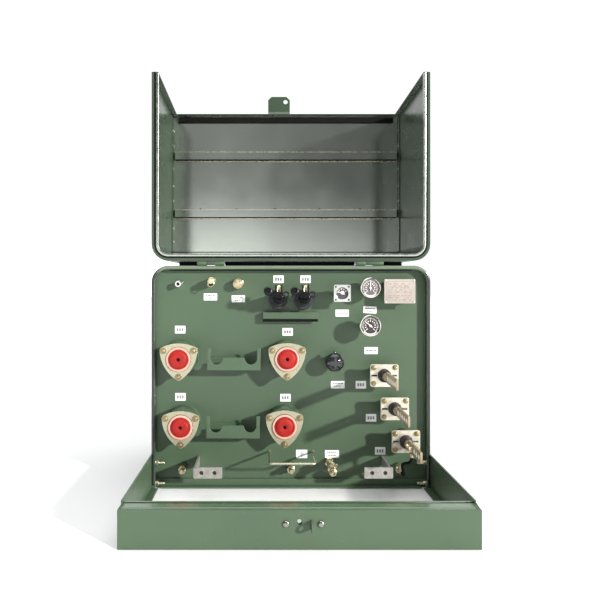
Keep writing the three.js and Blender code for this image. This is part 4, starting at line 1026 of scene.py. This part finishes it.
STRAP_RADIUS, STRAP_TOP_X = 5, 402
STUD_X, STUD_Z = GROUND_STUDS[2]
STRAP_CORNERS = [(STUD_X, 32.6, STUD_Z), (STUD_X, 76, STUD_Z), (372, 96, 122), (STRAP_TOP_X, 118, 128),
    (STRAP_TOP_X, 118, 162.6)]
route = bent_path(STRAP_CORNERS, 20, 8)
fine = []
for a, b in zip(route, route[1:]):
    count = max(1, round((b - a).length / 1.5))
    fine += [a.lerp(b, k / count) for k in range(count)]
fine.append(route[-1])
weave = [STRAP_RADIUS - 0.25 + 0.25 * math.cos(math.pi * k) for k in range(len(fine))]
strap = piece("strap_sleeve", Shape().tube(fine, weave, 18), "black_rubber", stands_for="ground_strap",
    angle=60)
lug = Shape().ring([(5.2, 26), (6.8, 26), (6.8, 41), (6, 42), (5.2, 42)], STUD_X, STUD_Z, 24)
lug.disc(11, 8.9, 12.4, STUD_X, STUD_Z, 32, 0.8).nut(10.4, 12.6, 20, STUD_X, STUD_Z, 0.5)
x, z = LV[2]
palm = [(100, 196), (116, 196), (121, 190), (124, 168), (124, 156), (112, 156), (112, 166), (96, 180),
    (96, 190)]
lug.join(Shape().prism(palm, x - 6.4, x - 3.9).turned())
lug.tube([(STRAP_TOP_X, 118, 148), (STRAP_TOP_X, 118, 161.5)], 6.4, 24)
piece("strap_lugs", lug, "spade_metal", bevel=0.4)
bolt = Shape()
for front in SPADE_HOLES[:2]:
    head = Shape().disc(11.4, 6.6, 9.4, front, z, 32, 0.6).nut(10.2, 9.4, 17, front, z, 0.3 + front)
    tail = Shape().disc(11.4, 3.7, 6.4, front, z, 32, 0.6).nut(10.2, 6.4, 14, front, z, 0.8 + front, 5.5)
    bolt.join(head.turned(x, side=-1)).join(tail.turned(x))
piece("spade_bolts", bolt, "brass", bevel=0.4)

# ---- sill

SIDES = (("left", -1), ("right", 1))
for hand, side in SIDES:
    hardware = Shape()
    for z in (17, 91):
        screw = [(4.6, 455), *thread(5.5, 5.1, 456.5, 1.2, 2.4, 11), (5.1, 484.4)]
        shank = Shape().post(screw, -13, z, 20)
        shank.disc(9.6, 485.4, 487.4, -13, z, 28).nut(8, 477, 485.4, -13, z, 0.4)
        shank.disc(9.6, 507.6, 510, -13, z, 28, 0.6).nut(8.2, 510, 515, -13, z, 0.2)
        hardware.join(shank.turned(side=side))
    piece(f"sill_bolts_{hand}", hardware, material=ZINC_AND_EDGE_HIGHLIGHT, bevel=0.3)

channel = [(419.4, 108), (419.4, 112.4), (420.4, 113.4), (425.4, 113.4), (426.4, 112.6), (426.4, 110.8),
    (460, 110.8), (461.4, 112.4), (466, 112.4), (467.4, 110.8), (474, 110.8), (474.6, 110.1),
    (430, 110.1), (426, 108)]
piece("sill_channel", Shape().prism(channel, -499.8, 499.8).turned(), material=LEDGE_LIT, bevel=0.4)
groove = Shape().box(-499.6, 499.6, 426.6, 431.4, 110.2, 111.2)
piece("sill_groove", groove, "black_rubber", bevel=0.3)
domes = Shape()
dome = [(0, 480.3), (9.8, 480.3), (9.8, 482), (9.1, 483.8), (7.4, 485.6), (4.4, 486.8), (0, 487.2)]
for x in (-37, 60):
    domes.lathe(dome, x, 72, 36)
piece("sill_domes", domes, material=SHADED_ZINC)
for hand, side in SIDES:
    weld_bead(f"sill_weld_{hand}", [(side * 499.6, 438, 119.6), (side * 499.6, 474, 112.8)], 1.6)

# ---- hood inside, drawn as it stands when closed


def hood_piece(name, shape, material, bevel=0.0):
    piece(name, shape, "hood_paint", material, bevel=bevel, body="hood", place=closed_hood_point)


RIB_HEIGHTS, RIB_HALF_LENGTH = (323, 575), 483.5
# A bright metal strip along the inner rim stands in for the sky's reflection on the glossy rim: painted
# reflection.
RIM_SECTION = [(16.2, 0.98), (16.2, -0.4), (17.4, -1.1), (23.6, -1.1), (25.3, -0.3), (25.3, 5.9),
    (25.05, 5.9), (25.05, 0.98)]
hood_piece("rim_sheen_strip", arch_strip(RIM_SECTION, HOOD_BOTTOM + 4), RIM_SHEEN, 0.3)
# A bright, mirror-like silvery sheet follows the front panel between and over its two ribs, in place of its
# green enamel: painted reflection for the panel's glossy sheen.
sheen_sheet = Shape()
for outline in (round_box(-491, 491, 149, 306, 1), round_box(-491, 491, 340, 558, 1), arch_line(6, 592)):
    sheen_sheet.prism(outline, 475.4, 475.9)
for z in RIB_HEIGHTS:
    sheen_sheet.box(-RIB_HALF_LENGTH, RIB_HALF_LENGTH, 457.3, 457.8, z - 16.8, z + 16.8)
    for edge in (-16.8, 16.8):
        sheen_sheet.box(-RIB_HALF_LENGTH, RIB_HALF_LENGTH, 457.8, 475.4, z + edge - 0.2, z + edge + 0.2)
hood_piece("panel_sheen_sheet", sheen_sheet, PANEL_SHEEN)
# Black strips along the panel's edge seam and under each rib stand in for shadow: painted shade.
shadow_gaps = Shape().box(-430, 432, -0.9, 0.9, 767.8, 771)
for z in RIB_HEIGHTS:
    shadow_gaps.box(-RIB_HALF_LENGTH, RIB_HALF_LENGTH, 456.8, 474, z + 17, z + 19.6)
hood_piece("panel_shadow_lines", shadow_gaps, MATERIALS["black_rubber"], 0.4)
# Thin bright strips along the rib edges stand in for the light catching those edges: painted highlight.
edges = Shape()
for z in RIB_HEIGHTS:
    edges.box(-483, 483, 474.6, 475.3, z + 20.4, z + 25.2).box(-483, 483, 456.9, 457.2, z - 16, z - 13.4)
hood_piece("rib_edge_highlights", edges, ZINC_AND_EDGE_HIGHLIGHT, 0.2)
# A black band along the panel's lower edge is drawn as a rubber seal and also stands in for the shade under
# the panel's edge flange: painted shade.
hood_piece("panel_seal_and_shade", Shape().box(-470, 470, 466, SEAM_FRONT - 0.1, 153, 178),
    MATERIALS["black_rubber"], 1.5)
rivets = Shape()
rivet = [(0, 474.4), (2, 474.6), (3.8, 475.4), (4.2, SEAM_FRONT), (0, SEAM_FRONT)]
RIVET_ROWS = ((554, (-373, -216, -47, 149, 327)), (596, (-370, -189, -18, 158, 327)),
    (302, (-297, 60, 233)), (344, (-290, 70)))
for height, row in RIVET_ROWS:
    for x in row:
        rivets.lathe(rivet, x, height, 20)
hood_piece("rib_rivets", rivets, SCREW_STEEL_AND_BORE_SHADE)
# Near-black discs at the rib ends stand in for the shaded holes there: painted shade.
holes = Shape()
for x in (-488.4, 488.4):
    for z in RIB_HEIGHTS:
        holes.lathe([(0, 474.6), (4.6, 474.8), (5, 475.4), (5, SEAM_FRONT), (0, SEAM_FRONT)], x, z, 24)
hood_piece("rib_end_hole_shade", holes, HOLE_SHADE)
screws = Shape()
for side in (-1, 1):
    for z in (212, 278, 379, 456, 520, 640, 700):
        head = Shape().lathe([(0, 0), (3.4, 0), (3.1, 1.2), (1.8, 1.9), (0, 2.1)], 464, z, 18)
        screws.join(head.turned(side * 492.6, side=-side))
hood_piece("seam_screws", screws, ZINC_AND_EDGE_HIGHLIGHT)

# Black strips behind the hinges fill the gap there so it reads dark: painted shade.
gap_shade = Shape()
for x0, x1 in ((-406, -338), (-238, 233), (333, 406)):
    gap_shade.box(x0, x1, -41, -38, 800.2, 816.4)
piece("hinge_gap_shade", gap_shade, "black_rubber", bevel=0.8)

# ---- back, sides and top

TANK_BACK = -520
FIN_BOTTOM, FIN_TOP = 130, 690
band = Shape().box(-446, 446, TANK_BACK - 2, TANK_BACK - 0.1, 768, 783)
piece("cover_band", band, bevel=0.5)
bolts = Shape()
for a in range(-430, 431, 86):
    head = Shape().disc(7.4, 0, 1.4, a, 775.5, 24, 0.4).nut(6.4, 1.4, 6, a, 775.5, 0.02 * a)
    bolts.join(head.mapped(lambda a, b, c: (a, TANK_BACK - 2 - b, c)))
piece("cover_bolts", bolts, material=ZINC_AND_EDGE_HIGHLIGHT, bevel=0.3)
header = [(-410, 110), (410, 110), (410, 710), (-410, 710), (-410, 110)]
weld_bead("radiator_weld", [(x, TANK_BACK - 0.8, z) for x, z in header], 2.6)
fins = Shape()
for i in range(13):
    x = 66 * (i - 6)
    for z in (FIN_BOTTOM, FIN_TOP):
        fins.tube([(x, TANK_BACK - 5, z), (x, TANK_BACK - 98, z)], 4.9, 12)
    fins.tube([(x, TANK_BACK - 100.6, FIN_BOTTOM), (x, TANK_BACK - 100.6, FIN_TOP)], 4.6, 12)
    for front in (-548, -572, -596):
        rib = round_box(front - 5, front + 5, 160, 660, 4.8)
        fins.join(Shape().prism(rib, x - 5.6, x + 5.6).turned())
piece("fin_seams", fins, bevel=0.8)
LUG_EDGE = ((6.8, 643), (6.8, 719), (-6.8, 719), (-6.8, 643))
for i, front in enumerate((-300, -470), 1):
    for hand, side in SIDES:
        weld_bead(f"lug_weld_{i}_{hand}", [(side * 500.6, front + a, z) for a, z in LUG_EDGE], 2.2)
for hand, side in SIDES:
    weld_bead(f"base_weld_{hand}", [(side * 500.5, TANK_BACK + 1, 2.5), (side * 500.5, -46, 2.5)], 2.0)

# ---- labels

LABEL_BACK = ON_FACE + 0.05
SMALL, WIDE = (38, 28), (48.5, 25.5)
LABELS = (
    # name, x, z, size, tilt in degrees, rows of grey bars that stand for print
    ("relief", -291, 688, WIDE, 0, 2), ("fill", -190, 681, WIDE, 1, 2),
    ("well_1", -401, 569, SMALL, 0, 0), ("well_3", -400, 325, SMALL, 0, 0),
    ("well_2", -11, 561, SMALL, 0, 0), ("well_4", -19, 322, SMALL, 0, 0),
    ("fuse_1", -44, 752, SMALL, 0, 0), ("fuse_2", 54, 752, SMALL, 0, 0),
    ("level", 187, 629, WIDE, 0, 1), ("thermometer", 288, 641, WIDE, -3, 2),
    ("pressure", 292, 493, WIDE, 0, 1), ("tap", 171, 369, (50, 27), 0, 2),
    ("low_1", 255, 369, SMALL, 0, 0), ("low_2", 292, 249, SMALL, 0, 0), ("low_3", 325, 129, SMALL, 0, 0),
    ("ground", 40, 118, (41, 30.5), 0, -1), ("drain", 150, 118, (51, 27.5), 0, 2),
)
for name, x, z, (width, height), tilt, rows in LABELS:

    def on_label(a, front, b, x=x, z=z, tilt=tilt):
        across, up = spun([(a, b)], x, z, tilt)[0]
        return across, front, up

    outline = round_box(-width / 2, width / 2, -height / 2, height / 2, 1.6)
    sheet = Shape().prism(outline, LABEL_BACK, LABEL_BACK + 0.9)
    piece(f"label_{name}", sheet.mapped(on_label), "nameplate_steel", LABEL_AND_HOLE_GLINT, bevel=0.2)
    marks = Shape()
    ink_back, ink_front = LABEL_BACK + 0.85, LABEL_BACK + 1.1
    if rows == 0:
        for a in (-9.5, -0.5, 8.5):
            marks.box(a - 3, a + 3, ink_back, ink_front, -5.5, 5.5)
    elif rows < 0:
        marks.box(-0.9, 0.9, ink_back, ink_front, 0, 9)
        for b, w in ((0, 16), (-4, 10), (-8, 4.5)):
            marks.box(-w / 2, w / 2, ink_back, ink_front, b - 1, b + 1)
    else:
        for row in range(rows):
            b = 4.6 - 9.2 * row if rows == 2 else 0
            a = -width / 2 + 6 + (6 if row else 0)
            while a < width / 2 - 12 - (6 if row else 0):
                w = random.choice((4, 7, 10))
                marks.box(a, min(a + w, width / 2 - 6), ink_back, ink_front, b - 2, b + 2)
                a += w + 2
    piece(f"print_{name}", marks.mapped(on_label), "nameplate_steel", INK)

# ---- stage

add_floor()
add_camera()
add_sun()
add_world()
bpy.context.scene.view_settings.view_transform = "Standard"
